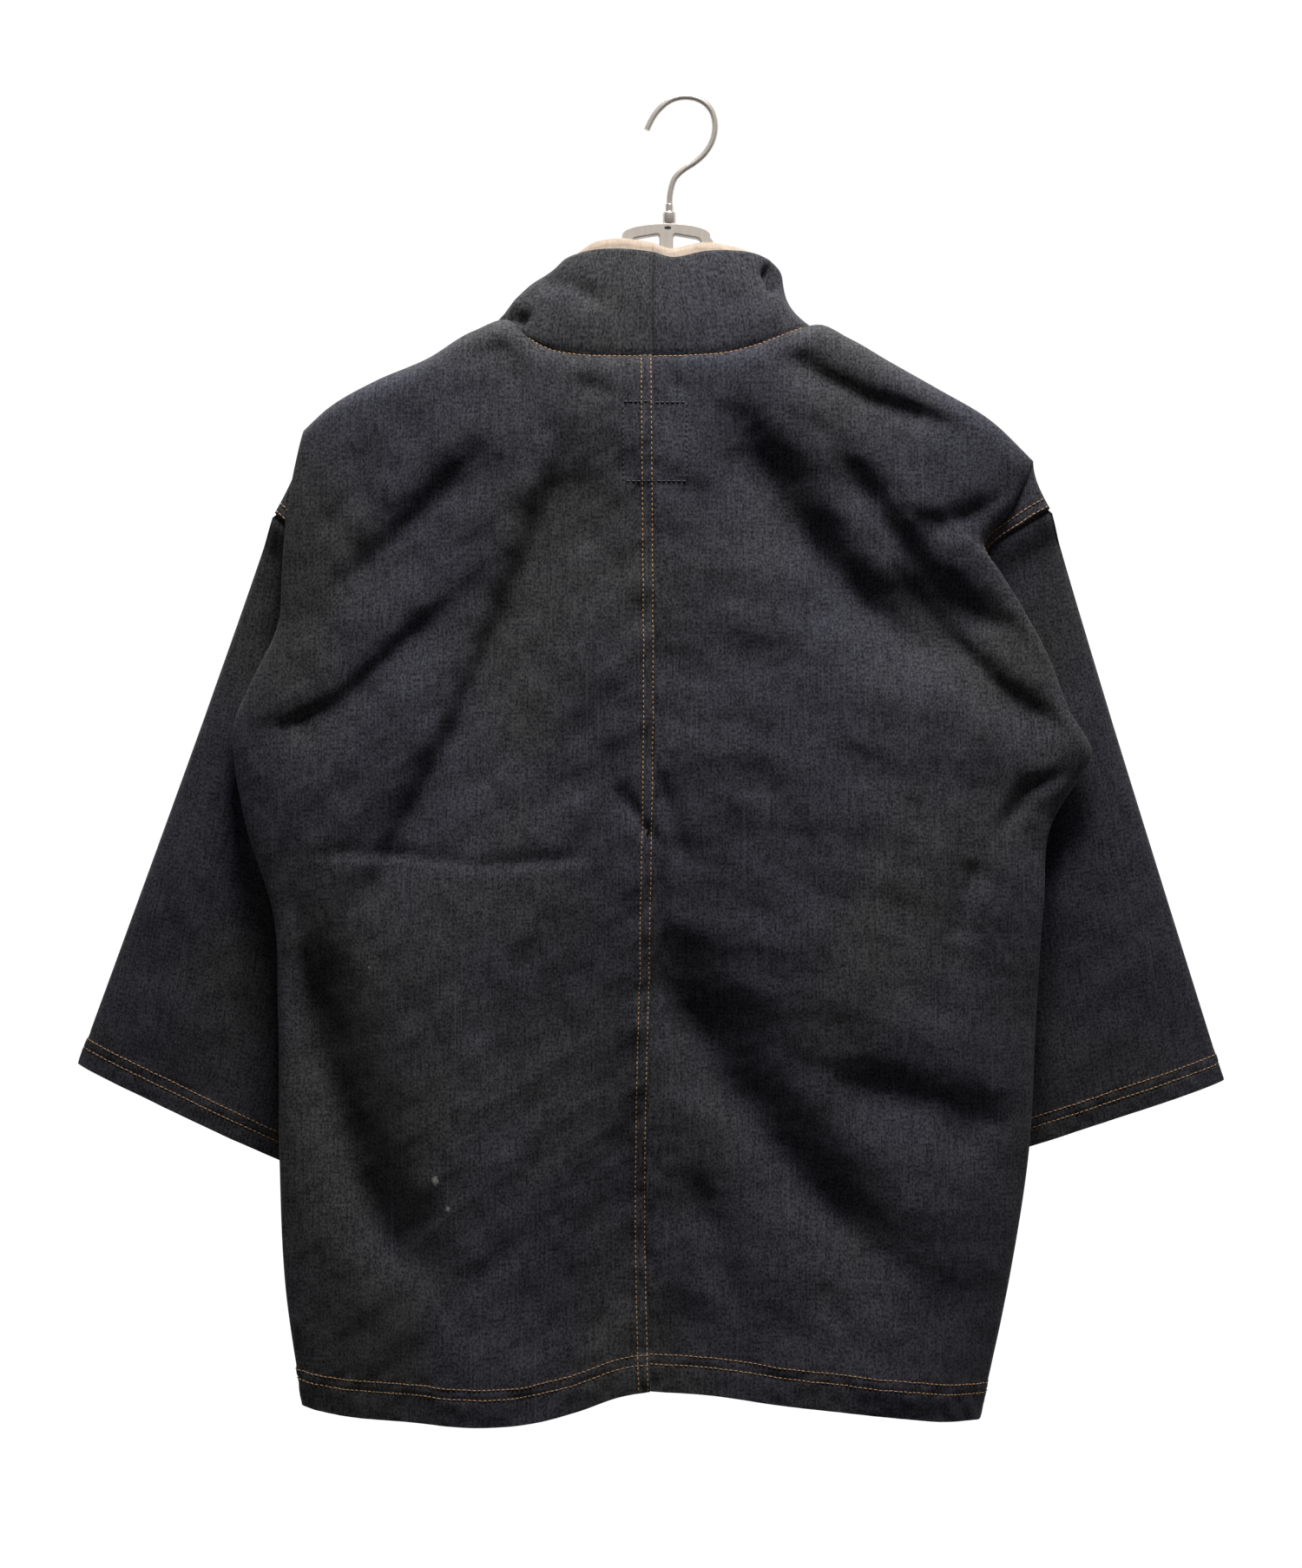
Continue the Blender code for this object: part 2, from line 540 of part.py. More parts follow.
def facing_band(neck, ridge, band_seam, band_edge, band_bulge, sign):
    """The pale facing: the collar's own points round the back neck, moved inside it."""
    station = np.linspace(0.0, FACING_END_KNOT, FACING_STATIONS)
    proud = through(np.arange(len(FACING_PROUD)), FACING_PROUD, station)
    reach = 1.0 + proud / FACING_BAND_WIDTH
    foot = through(np.arange(len(FACING_FOOT)), FACING_FOOT, station)[:, None]
    h = foot + (reach[:, None] - foot) * np.linspace(0.0, 1.0, BAND_ROWS + 1)[None]
    grid = band_grid(neck, ridge, band_seam, band_edge, band_bulge, station, h)
    return grid + sign * grid_normals(grid) * (BAND_CLOTH + RIDGE_GAP)


def grid_normals(grid):
    """Unit normals of a grid of points."""
    down = np.gradient(grid, axis=0)
    across = np.gradient(grid, axis=1)
    normal = np.cross(across, down)
    return normal / np.linalg.norm(normal, axis=2)[..., None]


def cloth_object(name, grid, material, collection, wall, turned=None, ring=False, flip=False):
    """An open sheet of points, thickened on its inside into a wall."""
    count_down, count_across = grid.shape[:2]
    mesh = bpy.data.meshes.new(name)
    build = bmesh.new()
    points = [[build.verts.new(grid[i, j] * MM) for j in range(count_across)]
              for i in range(count_down)]
    last = count_across if ring else count_across - 1
    for i in range(count_down - 1):
        for j in range(last):
            k = (j + 1) % count_across
            corners = (points[i][j], points[i][k], points[i + 1][k], points[i + 1][j])
            build.faces.new(corners[::-1] if flip else corners)
    build.to_mesh(mesh)
    build.free()
    mesh.materials.append(material)
    mesh.shade_smooth()
    item = bpy.data.objects.new(name, mesh)
    collection.objects.link(item)
    wall_modifier = item.modifiers.new("cloth wall", "SOLIDIFY")
    wall_modifier.offset = -1.0
    wall_modifier.thickness = wall * MM
    if turned is not None:
        group = item.vertex_groups.new(name="turned under")
        group.add([int(index) for index in np.flatnonzero(turned)], 1.0, "REPLACE")
        wall_modifier.thickness = TURNED_CLOTH * MM
        wall_modifier.vertex_group = group.name
        wall_modifier.thickness_vertex_group = wall / TURNED_CLOTH
    return item


def turned_rows(grid, fell_columns):
    """Marks the points of the hem's turn-up and of the centre back fell."""
    foot = grid[-1, :, 2][None, :]
    marks = grid[..., 2] < foot + HEM_TURN
    marks[:, :fell_columns] = True
    return marks.ravel()


def make_body(collection, denim):
    sides = (
        ("left", -1, NECK_LEFT, RIDGE_LEFT, HEM_LEFT, EDGE_LEFT, SEAM_LEFT, FRONT_SEAM_LEFT,
         BAND_SEAM_FRONT_LEFT),
        ("right", 1, NECK_RIGHT, RIDGE_RIGHT, HEM_RIGHT, EDGE_RIGHT, SEAM_RIGHT, FRONT_SEAM_RIGHT,
         BAND_SEAM_FRONT_RIGHT),
    )
    for name, sign, neck, ridge, hem, edge, seam, front_seam, band_seam in sides:
        back = back_panel(neck, ridge, hem, edge, seam)
        back[:, 0, 0] += sign * SEAM_GAP / 2
        marks = turned_rows(back, FELL_COLUMNS)
        cloth_object("back_" + name, back, denim, collection, CLOTH, marks, flip=sign > 0)
        front = front_panel(neck, ridge, band_seam, edge, seam, front_seam, sign)
        marks = turned_rows(front, 0)
        cloth_object("front_" + name, front, denim, collection, CLOTH, marks, flip=sign < 0)


def make_sleeves(collection, denim):
    sides = (
        ("left", -1, EDGE_LEFT, SEAM_LEFT, FRONT_SEAM_LEFT, CUFF_TOP_LEFT, CUFF_FOOT_LEFT),
        ("right", 1, EDGE_RIGHT, SEAM_RIGHT, FRONT_SEAM_RIGHT, CUFF_TOP_RIGHT, CUFF_FOOT_RIGHT),
    )
    for name, sign, edge, seam, front_seam, cuff_top, cuff_foot in sides:
        tube = sleeve_tube(edge, seam, front_seam, cuff_top, cuff_foot, sign)
        marks = np.zeros(tube.shape[:2], bool)
        marks[-2:] = True
        cloth_object("sleeve_" + name, tube, denim, collection, CLOTH, marks.ravel(), ring=True,
                     flip=sign > 0)


def make_collar(collection, denim, facing):
    sides = (
        ("left", -1, NECK_LEFT, RIDGE_LEFT, BAND_SEAM_FRONT_LEFT, BAND_EDGE_LEFT,
         BAND_BULGE_LEFT),
        ("right", 1, NECK_RIGHT, RIDGE_RIGHT, BAND_SEAM_FRONT_RIGHT, BAND_EDGE_RIGHT,
         BAND_BULGE_RIGHT),
    )
    for name, sign, *lines in sides:
        band = collar_band(*lines)
        band[0, :, 0] += sign * SEAM_GAP / 2
        cloth_object("collar_" + name, band, denim, collection, BAND_CLOTH, flip=sign < 0)
        lining = facing_band(*lines, sign)
        lining[0, :, 0] = VIEW_X + sign * SEAM_GAP
        cloth_object("facing_" + name, lining, facing, collection, FACING_CLOTH, flip=sign < 0)


def hanger_arm(neck, ridge, reach, neck_run):
    """The top and bottom lines of an arm that lies under the shoulder's cloth."""
    top = along(neck + ridge[1:], ridge_shares(neck, ridge))
    top = top[(np.abs(top[:, 0]) > reach[0]) & (np.abs(top[:, 0]) < reach[1])]
    top[:, 1] -= CLOTH + HANGER_CLEARANCE
    top = np.concatenate((np.asarray(neck_run, float), top))
    height = np.linspace(HANGER_ARM_HEIGHT, HANGER_TIP_HEIGHT, len(top) - 1)
    bottom = top[1:].copy()
    bottom[:, 1] -= height
    return top, bottom


def outline_curve(name, loops, half_thickness, material, collection):
    """A flat outline with its holes, extruded to a plate that stands in the XZ plane."""
    curve = bpy.data.curves.new(name, "CURVE")
    curve.dimensions = "2D"
    curve.fill_mode = "BOTH"
    curve.extrude = half_thickness * MM
    for loop in loops:
        spline = curve.splines.new("POLY")
        spline.points.add(len(loop) - 1)
        for point, (x, z) in zip(spline.points, loop):
            point.co = (x * MM, z * MM, 0.0, 1.0)
        spline.use_cyclic_u = True
    curve.materials.append(material)
    item = bpy.data.objects.new(name, curve)
    item.rotation_euler = (math.pi / 2, 0.0, 0.0)
    collection.objects.link(item)
    return item


def arch_points():
    rise = ARCH_TOP - ARCH_SPRING
    return [(ARCH_X + ARCH_HALF_WIDTH * math.cos(angle),
             ARCH_SPRING + rise * math.sin(angle) ** ARCH_SQUARENESS)
            for angle in np.linspace(math.pi, 0.0, ARCH_CORNERS)]


def window_points(side):
    """The four corners of the window on one side of the post."""
    near = ARCH_X + side * POST_WIDTH / 2
    far = ARCH_X + side * (ARCH_HALF_WIDTH - ARCH_BAND)
    across = (near, far, far + side * WINDOW_FLARE, near)
    return [(x, ARCH_TOP - ARCH_BAND - drop) for x, drop in zip(across, WINDOW_DROPS)]


def make_hanger(collection, material):
    top_left, bottom_left = hanger_arm(NECK_LEFT, RIDGE_LEFT, ARM_REACH_LEFT, HANGER_NECK_LEFT)
    top_right, bottom_right = hanger_arm(NECK_RIGHT, RIDGE_RIGHT, ARM_REACH_RIGHT,
                                         HANGER_NECK_RIGHT)
    outer = list(map(tuple, top_left[::-1])) + arch_points()
    outer += list(map(tuple, top_right)) + list(map(tuple, bottom_right[::-1]))
    outer += [(ARCH_X + x, z) for x, z in UNDERSIDE]
    outer += list(map(tuple, bottom_left))
    loops = [outer, window_points(-1), window_points(1)]
    outline_curve("hanger", loops, HANGER_THICKNESS / 2, material, collection)


def make_hook(collection, steel):
    bpy.ops.mesh.primitive_cylinder_add(vertices=20, radius=FERRULE_RADIUS * MM,
                                        depth=(FERRULE_HEIGHT - SEAM_GAP) * MM)
    ferrule = bpy.context.object
    ferrule.name = "ferrule"
    ferrule.location = (STEM_X * MM, 0.0, (ARCH_TOP + SEAM_GAP + FERRULE_HEIGHT / 2) * MM)
    ferrule.data.materials.append(steel)
    for holder in list(ferrule.users_collection):
        holder.objects.unlink(ferrule)
    collection.objects.link(ferrule)

    curve = bpy.data.curves.new("hook", "CURVE")
    curve.dimensions = "3D"
    curve.bevel_depth = WIRE_RADIUS * MM
    curve.bevel_resolution = 2
    curve.use_fill_caps = True
    route = along(HOOK_ROUTE, np.linspace(0.0, 1.0, HOOK_POINTS))
    spline = curve.splines.new("POLY")
    spline.points.add(len(route) - 1)
    for point, (x, z) in zip(spline.points, route):
        point.co = (x * MM, 0.0, z * MM, 1.0)
    curve.materials.append(steel)
    collection.objects.link(bpy.data.objects.new("hook", curve))


def main():
    clear_scene()
    collection = bpy.data.collections.new("jacket on hanger")
    bpy.context.scene.collection.children.link(collection)
    denim = make_material("denim")
    make_body(collection, denim)
    make_sleeves(collection, denim)
    make_collar(collection, denim, make_material("facing"))
    make_hanger(collection, make_material("hanger"))
    make_hook(collection, make_material("steel"))


main()
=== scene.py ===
"""Looks of the denim jacket on its hanger: finer cloth, stitching, light and camera.

Lists of places are in millimetres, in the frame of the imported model, and MM turns them into
metres. The back of the jacket faces -Y, where the camera is, and its open front faces +Y.
"""

import math
from collections import namedtuple

import bpy
import numpy as np
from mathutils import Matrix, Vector


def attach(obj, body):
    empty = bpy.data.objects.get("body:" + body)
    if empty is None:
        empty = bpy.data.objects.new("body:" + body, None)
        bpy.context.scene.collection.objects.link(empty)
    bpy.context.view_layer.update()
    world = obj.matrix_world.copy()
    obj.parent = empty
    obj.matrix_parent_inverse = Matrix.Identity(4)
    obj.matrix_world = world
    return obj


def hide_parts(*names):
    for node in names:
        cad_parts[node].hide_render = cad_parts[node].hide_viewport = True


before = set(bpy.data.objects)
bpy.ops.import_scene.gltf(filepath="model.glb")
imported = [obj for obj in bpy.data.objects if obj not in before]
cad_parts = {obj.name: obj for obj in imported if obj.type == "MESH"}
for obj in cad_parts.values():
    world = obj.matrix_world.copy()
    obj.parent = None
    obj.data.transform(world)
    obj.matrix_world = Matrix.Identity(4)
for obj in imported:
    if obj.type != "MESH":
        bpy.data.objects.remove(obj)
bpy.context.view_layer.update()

MM = 0.001
# Keeps a division by a length from failing where the length is nothing
TINY = 1e-9

# Cloth walls
CLOTH = 1.3
BAND_CLOTH = 1.8
FACING_CLOTH = 1.0
TURNED_CLOTH = 2.6
FACING_GAP = 1.1
BAND_CLEAR = 1.6
# How far a piece reaches in under the one that is sewn over it
COLLAR_TUCK = 2.2
SLEEVE_TUCK = 2.5
TUCKED_UNDER = 1.5
# The sleeve steps out again just past the armhole, over a small share of its length
SLEEVE_OUT = 2.5
SLEEVE_OUT_BY = 0.01
# The collar's foot reaches in deeper round the shoulder point: how much, and at which knots
RIDGE_TUCK = 6.0
RIDGE_TUCK_KNOT = 6.6
RIDGE_TUCK_REACH = 1.3
# How deep the hems and cuffs are turned up
HEM_TURN = 26.0
CUFF_TURN = 20.0

# The viewer's distance and line of sight, by which near cloth is drawn in to true size
VIEW_DISTANCE = 1800.0
NEAR_SHOULDER = 8.0
VIEW_X = -19.0
VIEW_Z = -449.0

# Depths of the hanging body, measured from the hanger's plane
NECK_DEPTH = 20.0
# At the top, at the waist or chest, and at the hem
BACK_DEPTHS = (23.0, 25.0, 15.0)
FRONT_DEPTHS = (18.0, 36.0, 44.0)
HEM_LOBE_DEPTH = 44.0
HEM_LOBE_START = 0.28
FRONT_SLACK = 6.0
RIDGE_DROP = 14.0
WAIST = 0.45
CHEST = 0.25
NECK_SQUARENESS = 2.5
SIDE_SQUARENESS = 3.2
FRONT_SQUARENESS = 3.0
# The front leaves the band over this share of its width
BAND_EASE = 0.25
PANEL_DROP = 650.0
# Folds start this far below the shoulder's ridge
FOLD_START = 60.0

# Hem lobes that stand towards the viewer: place, half width, share of HEM_LOBE_DEPTH
HEM_LOBES = ((-150.0, 62.0, 1.0), (150.0, 66.0, 0.95))

CENTRE_BACK = ((-18, -169), (-17, -277), (-17, -448), (-20, -590), (-22, -733), (-20, -846))

# Left side, read from the centre back outwards
NECK_LEFT = ((-18, -169), (-43, -169), (-69, -168), (-85, -165), (-97, -159), (-106, -150),
             (-110, -146))
RIDGE_LEFT = ((-110, -146), (-135, -152), (-165, -170), (-200, -185), (-230, -202), (-247, -217))
HEM_LEFT = ((-20, -846), (-40, -850), (-66, -859), (-96, -867), (-132, -870), (-178, -866),
            (-220, -862), (-248, -856))
# The fold at the body's side, with its depth, and the seam that lies behind it
EDGE_LEFT = ((-247, -5, -217), (-254, -6, -250), (-258, -6, -275), (-261, -4, -310),
             (-264, -2, -345), (-281, 0, -381), (-293, 0, -410), (-292, 0, -440),
             (-289, 0, -458), (-284, 0, -480), (-268, 0, -530), (-264, 0, -600), (-263, 0, -696),
             (-259, 0, -780), (-248, 0, -856))
SEAM_LEFT = ((-266, -5, -271), (-257, -5, -281), (-252, -1, -296), (-250, 3, -322),
             (-251, 6, -350), (-256, 8, -386), (-259, 9, -418), (-257, 10, -443),
             (-253, 10, -460), (-250, 10, -482), (-246, 10, -532), (-243, 10, -600),
             (-241, 10, -696), (-240, 10, -779), (-236, 10, -854))
FRONT_SEAM_LEFT = ((-266, 9, -271), (-262, 14, -284), (-258, 20, -300), (-255, 26, -325),
                   (-254, 30, -352), (-257, 32, -386), (-259, 27, -418),
                   (-257, 14, -443)) + SEAM_LEFT[8:]

# Right side, with the pinch under the shoulder and the pointed underarm
NECK_RIGHT = ((-18, -169), (8, -168.5), (32, -166.5), (50, -162), (66, -156), (80, -151),
              (89, -148))
RIDGE_RIGHT = ((89, -148), (111, -157), (137, -172), (169, -190), (203, -210), (232, -237))
HEM_RIGHT = ((-20, -846), (22, -849), (63, -855), (107, -860), (146, -864), (174, -866),
             (197, -864))
EDGE_RIGHT = ((232, -5, -237), (218, -5, -268), (199, -6, -294), (209, -5, -309),
              (223, -3, -331), (241, 0, -363), (255, 0, -399), (270, 0, -432),
              (259, 0, -450), (247, 0, -469), (239, 0, -530), (234, 0, -602), (229, 0, -692),
              (217, 0, -770), (197, 0, -864))
SEAM_RIGHT = ((243, -5, -268), (226, -4, -278), (202, 0, -296), (200, 3, -309),
              (203, 6, -335), (209, 8, -368), (213, 9, -405), (213, 10, -440),
              (210, 10, -455), (206, 10, -475), (202, 10, -532), (200, 10, -602),
              (198, 10, -692), (194, 10, -770), (184, 10, -860))
FRONT_SEAM_RIGHT = ((243, 9, -268), (237, 14, -281), (230, 20, -297), (225, 26, -315),
                    (220, 30, -338), (217, 31, -370), (215, 26, -405),
                    (213, 14, -440)) + SEAM_RIGHT[8:]
UNDERARM_KNOT = 7

# The band collar's seam down the front, and its free edge and how far it bulges between them,
# both from the centre back round the neck and down the front
BAND_SEAM_FRONT_LEFT = ((-113, 10, -160), (-110, 20, -185), (-100, 31, -235), (-86, 38, -300),
                        (-79, 41, -360), (-78, 42, -480), (-78, 43, -600), (-78, 44, -725),
                        (-78, 45, -850))
BAND_EDGE_LEFT = ((-18, -13, -101), (-36, -12, -99), (-53, -10, -99), (-66, -6, -101),
                  (-76, 0, -104), (-80, 6, -108), (-82, 12, -114), (-80, 22, -130),
                  (-72, 32, -160), (-52, 42, -225), (-33, 46, -300), (-25, 47, -360),
                  (-24, 47, -480), (-24, 47, -600), (-24, 48, -725), (-24, 49, -850))
BAND_BULGE_LEFT = ((0, -3, 0), (0, -3, 0), (-1, -4, 0), (-4, -5, 0), (-8, -4, 0), (-11, -2, 1),
                   (-12, 0, 1), (-9, 4, 0), (-5, 6, 0), (-2, 5, 0),
                   (0, 4, 0)) + ((0, 3, 0),) * 5
BAND_SEAM_FRONT_RIGHT = ((90, 10, -162), (86, 20, -187), (70, 31, -235), (52, 38, -300),
                         (44, 41, -360), (42, 42, -480), (42, 43, -600), (42, 44, -725),
                         (42, 45, -850))
BAND_EDGE_RIGHT = ((-18, -13, -101), (-4, -12, -104.5), (16, -10, -100.5), (36, -6, -100),
                   (53, 0, -102), (63, 6, -107), (68, 12, -116), (64, 22, -132),
                   (48, 32, -160), (21, 42, -225), (-1, 46, -300), (-10, 47, -360),
                   (-12, 47, -480), (-12, 47, -600), (-12, 48, -725), (-12, 49, -850))
BAND_BULGE_RIGHT = ((0, -3, 0), (0, -3, 0), (1, -4, 0), (1, -5, 0), (-1, -4, 0), (-5, -2, 0),
                    (-7, 1, 0), (-3, 4, 0), (2, 5, 0), (2, 5, 0),
                    (0, 4, 0)) + ((0, 3, 0),) * 5
NECK_KNOTS = 7
FACING_END_KNOT = 7.6
# Where the facing starts on the band's width, knot by knot
FACING_FOOT = (0.14, 0.14, 0.15, 0.2, 0.3, 0.36, 0.38, 0.38, 0.38)
FACING_BAND_WIDTH = 68.0
# How far the facing stands above the denim, knot by knot
FACING_PROUD = (7, 7.5, 7, 4.5, 0, -3, -4, -5, -5)

# Sleeves: cuff corners, and the lens that the cuff opens to
CUFF_TOP_LEFT = (-402, -637)
CUFF_FOOT_LEFT = (-239, -713)
CUFF_TOP_RIGHT = (364, -648)
CUFF_FOOT_RIGHT = (186, -706)
CUFF_CENTRE_Y = 46.0
CUFF_HALF_DEPTH = 16.0
SLEEVE_SWELL = 7.0
# How soon the sleeve falls back behind the body's side fold
SLEEVE_FALL = 0.55
SLEEVE_SWELL_SHAPE = 1.5
# The shares of the sleeve, and of its armhole above the underarm, in which its form eases in
SLEEVE_EASE = 0.06
FRONT_LAYER_EASE = 0.06
# The underfold first leaves the side seam outwards, then hangs in behind the body
UNDERFOLD_LEAVES = 3.0
UNDERFOLD_LEFT_BY = 0.04
UNDERFOLD_RETURNS = (0.06, 0.2)
UNDERFOLD_BOW = 5.0

# Spacing of the cloth's own points
ROW_STEP = 3.0
BACK_COLUMNS = 84
FRONT_COLUMNS = 74
RETURN_COLUMNS = 12
COLUMN_CROWDING = 1.4
SLEEVE_RINGS = 118
SLEEVE_SIDES = 76
NECK_STATIONS = 70
FRONT_STATIONS = 190
BAND_ROWS = 26
FACING_STATIONS = 60
FACING_ROWS = 16
SEAM_SAMPLES = 300
# Rows close together over the shoulder's ridge and at the hem's turn-up, in millimetres
RIDGE_STEPS = (0, 0.3, 0.8, 1.6, 2.8, 4.4, 6.5, 9, 12, 15.5)
HEM_STEPS = (28, 26.5, 25.5, 24.5, 23.5, 22, 20, 18.5, 17.5, 16.5, 15, 12, 9, 6, 4, 2.5, 1.2,
             0.4, 0)
# Columns close together at the felled seam
FELL_STEPS = (0.5, 1.2, 2.2, 4.2, 5.6, 6.6, 7.5, 8.3, 9.2, 10.4)
# Rings close together at the armhole, as shares of the sleeve's length
ARMHOLE_RINGS = (0.002, 0.005, 0.01, 0.016, 0.025)

# A crease's cross section, the share of its path in which each end fades, and what is left there
CREASE_SHAPE = 1.8
CREASE_FADE = 0.25
CREASE_ENDS = 0.12
# Share of a back half's width, at its side edge, in which its folds die out
SIDE_FADE = 0.09
# Folds of the back: path, depth away from the viewer, and how wide each side of it is,
# first the side on the right of a path that runs down
BACK_FOLDS = (
    (((-58, -190), (-94, -287), (-124, -365), (-154, -431), (-184, -488), (-213, -565)),
     15, 34, 10),
    (((-120, -222), (-184, -289), (-232, -331)), 9, 22, 11),
    (((-144, -328), (-184, -361), (-223, -398), (-253, -412), (-286, -415)), 9, 20, 8),
    (((-259, -496), (-184, -496), (-131, -504), (-40, -496)), 2.8, 7, 2.8),
    (((-44, -446), (-31, -466), (-15, -490)), 4.2, 5, 6),
    (((-250, -535), (-243, -590), (-226, -655), (-206, -712), (-182, -756), (-148, -780)),
     25, 24, 22),
    (((-200, -772), (-60, -778), (60, -778), (210, -772)), 8, 230, 45),
    (((-118, -579), (-116, -642), (-112, -704)), 3.5, 14, 9),
    (((-35, -590), (-38, -676), (-40, -761), (-44, -830)), 7, 9, 15),
    (((-162, -171), (-127, -165), (-101, -163)), 3.5, 5, 8),
    (((21, -192), (46, -223), (72, -270), (104, -315), (145, -355), (190, -392)), 18, 18, 27),
    (((132, -302), (177, -355), (210, -388), (243, -411), (260, -426)), 15, 11, 18),
    (((96, -222), (136, -279), (161, -312), (187, -335), (240, -366)), 11, 11, 16),
    (((146, -274), (172, -279), (204, -270), (234, -246)), 8, 8, 13),
    (((40, -160), (66, -166), (96, -184), (126, -198), (165, -210), (200, -217)), 6, 6, 10),
    (((197, -295), (217, -280), (238, -264)), 4, 9, 6),
    (((264, -440), (227, -451), (207, -485)), 7, 8, 5),
    (((258, -451), (241, -471), (232, -505)), 6, 6, 6),
    (((197, -496), (186, -526), (182, -558)), 5, 8, 8),
    (((-13, -440), (-5, -471), (3, -508)), 4.2, 5, 5),
    (((-14, -535), (6, -596), (36, -650), (78, -702), (122, -750), (165, -785)), 21, 26, 25),
    (((92, -640), (130, -650), (172, -660), (222, -681)), 11, 17, 24),
    (((4, -690), (26, -756), (42, -815)), 5, 10, 12),
    (((-13, -489), (-13, -545), (-14, -602)), 3.5, 6, 4),
    (((91, -774), (107, -807)), 3, 8, 8),
    (((-10, -170), (-5, -182), (0, -196)), 4.5, 4, 3.5),
    (((-72, -180), (-58, -189), (-42, -197)), 3.6, 6, 8),
    (((40, -420), (70, -470), (88, -520)), 3, 10, 18),
    (((-205, -225), (-215, -262), (-240, -290)), 3.5, 12, 8),
    (((-60, -372), (-66, -430), (-80, -470)), 2.5, 14, 8),
)
FRONT_FOLDS = (
    (((-95, -330), (-150, -380), (-215, -425)), 6, 16, 10),
    (((-120, -520), (-140, -650), (-150, -780)), 7, 22, 16),
    (((60, -330), (120, -380), (190, -420)), 6, 10, 16),
    (((90, -520), (115, -650), (125, -780)), 7, 16, 22),
)
# Drag folds of a sleeve, as shares of its length and of its width from the outer edge
SLEEVE_FOLDS = (
    (((0.10, 0.30), (0.32, 0.62), (0.55, 0.90)), 5, 0.10, 0.05),
    (((0.34, 0.28), (0.60, 0.52), (0.88, 0.66)), 4, 0.09, 0.06),
    (((0.02, 0.62), (0.16, 0.74), (0.30, 0.95)), 3, 0.05, 0.04),
)
# Dents of the standing collar, as places in the hanger's plane
COLLAR_FOLDS = (
    (((-98, -117), (-72, -122), (-48, -139)), 6, 9, 8),
    (((-122, -145), (-112, -139.5), (-104, -143), (-97, -150)), 14, 5, 4.5),
    (((55, -107), (61, -115), (67, -127)), 11, 5.5, 6),
    (((10, -120), (30, -132), (52, -136)), 1.6, 12, 12),
)
# Where the collar's foot rolls out over the left shoulder: station along the neck and share of
# the band's width, each with its half width, and how far it rolls
COLLAR_ROLL = ((5.6, 0.22), (1.3, 0.17), (-14, -8, -6))
# Depth and width of the seam line at the collar's centre back
CENTRE_GROOVE = (0.8, 1.3)
# The shares of the band's width in which its foot, roll and dents ease in, and where dents level
COLLAR_FOOT_EASE = 0.1
ROLL_FOOT = 0.08
DENTS_FOOT = 0.25
DENTS_TOP = 0.72
# Dents stay on the back part: the depth where they end, and the run in which they fade
DENTS_END = 8.0
DENTS_FADE = 10.0
# How far the band's bulge leans towards its edge
BAND_ARCH_LEAN = 0.9

# Soft random ripples: height, length, squash down the panel, and what is added to the seed
RIPPLE_WAVES = 14
RIPPLE_STRETCH = (0.7, 1.5)
BACK_RIPPLES = ((1.6, 90.0, 0.7, 0), (0.75, 34.0, 1.0, 5), (0.24, 13.0, 1.0, 9))
FRONT_RIPPLES = ((1.2, 90.0, 0.7, 0), (0.4, 34.0, 1.0, 5))
SLEEVE_RIPPLES = ((1.0, 80.0, 1.0, 0), (0.4, 30.0, 1.0, 3))
# Height and length of the collar's and facing's ripples
COLLAR_RIPPLE = (0.7, 45.0)
FACING_RIPPLE = (0.3, 22.0)
BACK_SEED = 20
FRONT_SEED = 60
SLEEVE_SEED = 90
COLLAR_SEED = 33
FACING_SEED = 45
# What a panel's seed grows by for the puckers of its centre seam and its hem
FELL_SEED = 13
HEM_SEED = 17
STITCH_SEED = 11

# Topstitching: distances of its rows from an edge, and the size of a stitch
HEM_ROWS = (18.0, 24.5)
CUFF_ROWS = (12.0, 18.5)
FELL_ROWS = (1.2, 7.5)
ARMHOLE_STITCH_ROWS = (1.8, 7.5)
NECK_ROW = 2.2
NECK_ROW_STOPS = 4.0
FRONT_BAND_ROW = 2.2
# Rows down a panel start at this row of its points
FIRST_STITCHED_ROW = 3
STITCH_PITCH = 3.3
STITCH_LENGTH = 2.6
STITCH_RADIUS = 0.38
STITCH_SLANT = 0.05
STITCH_SIDES = 6
# A stitch's rings: place along it, share of its radius, height above the cloth
STITCH_RINGS = ((-0.5, 0.35, 0.05), (-0.28, 1.0, 0.3), (0.28, 1.0, 0.3), (0.5, 0.35, 0.05))
# How wide and deep a row presses the cloth in
ROW_DIP_WIDTH = 0.9
HEM_PRESS = 0.45
FELL_PRESS = 0.4
ARMHOLE_PRESS = 0.35
# Puckers along a hem: how far past its rows and its foot they reach, and how much they slant
PUCKER = 0.34
PUCKER_LENGTH = 9.0
PUCKER_BEYOND = 7.0
PUCKER_FOOT = (2.0, 6.0)
PUCKER_LEAN = 0.6
# The step over a turn-up's inner edge: height, place past the last row, and run
TURN_RISE = 0.35
TURN_EDGE = 1.6
TURN_STEP = 1.2
# The felled centre seam's raised strip, the puckers beside it, and the other half's lap
FELL_RISE = 0.8
FELL_EDGE = 8.6
FELL_STEP = 1.6
FELL_START = 4.0
FELL_BEYOND = 8.0
FELL_PUCKER = 0.22
FELL_PUCKER_LENGTH = 10.8
FELL_LEAN = 0.5
LAP_DEPTH = 0.6
LAP_REACH = 3.0
# The tonal stitches below the neck
TONAL_CORNERS = ((-37, -202), (4, -202), (4, -253), (-37, -253))
TONAL_SAMPLES = 20
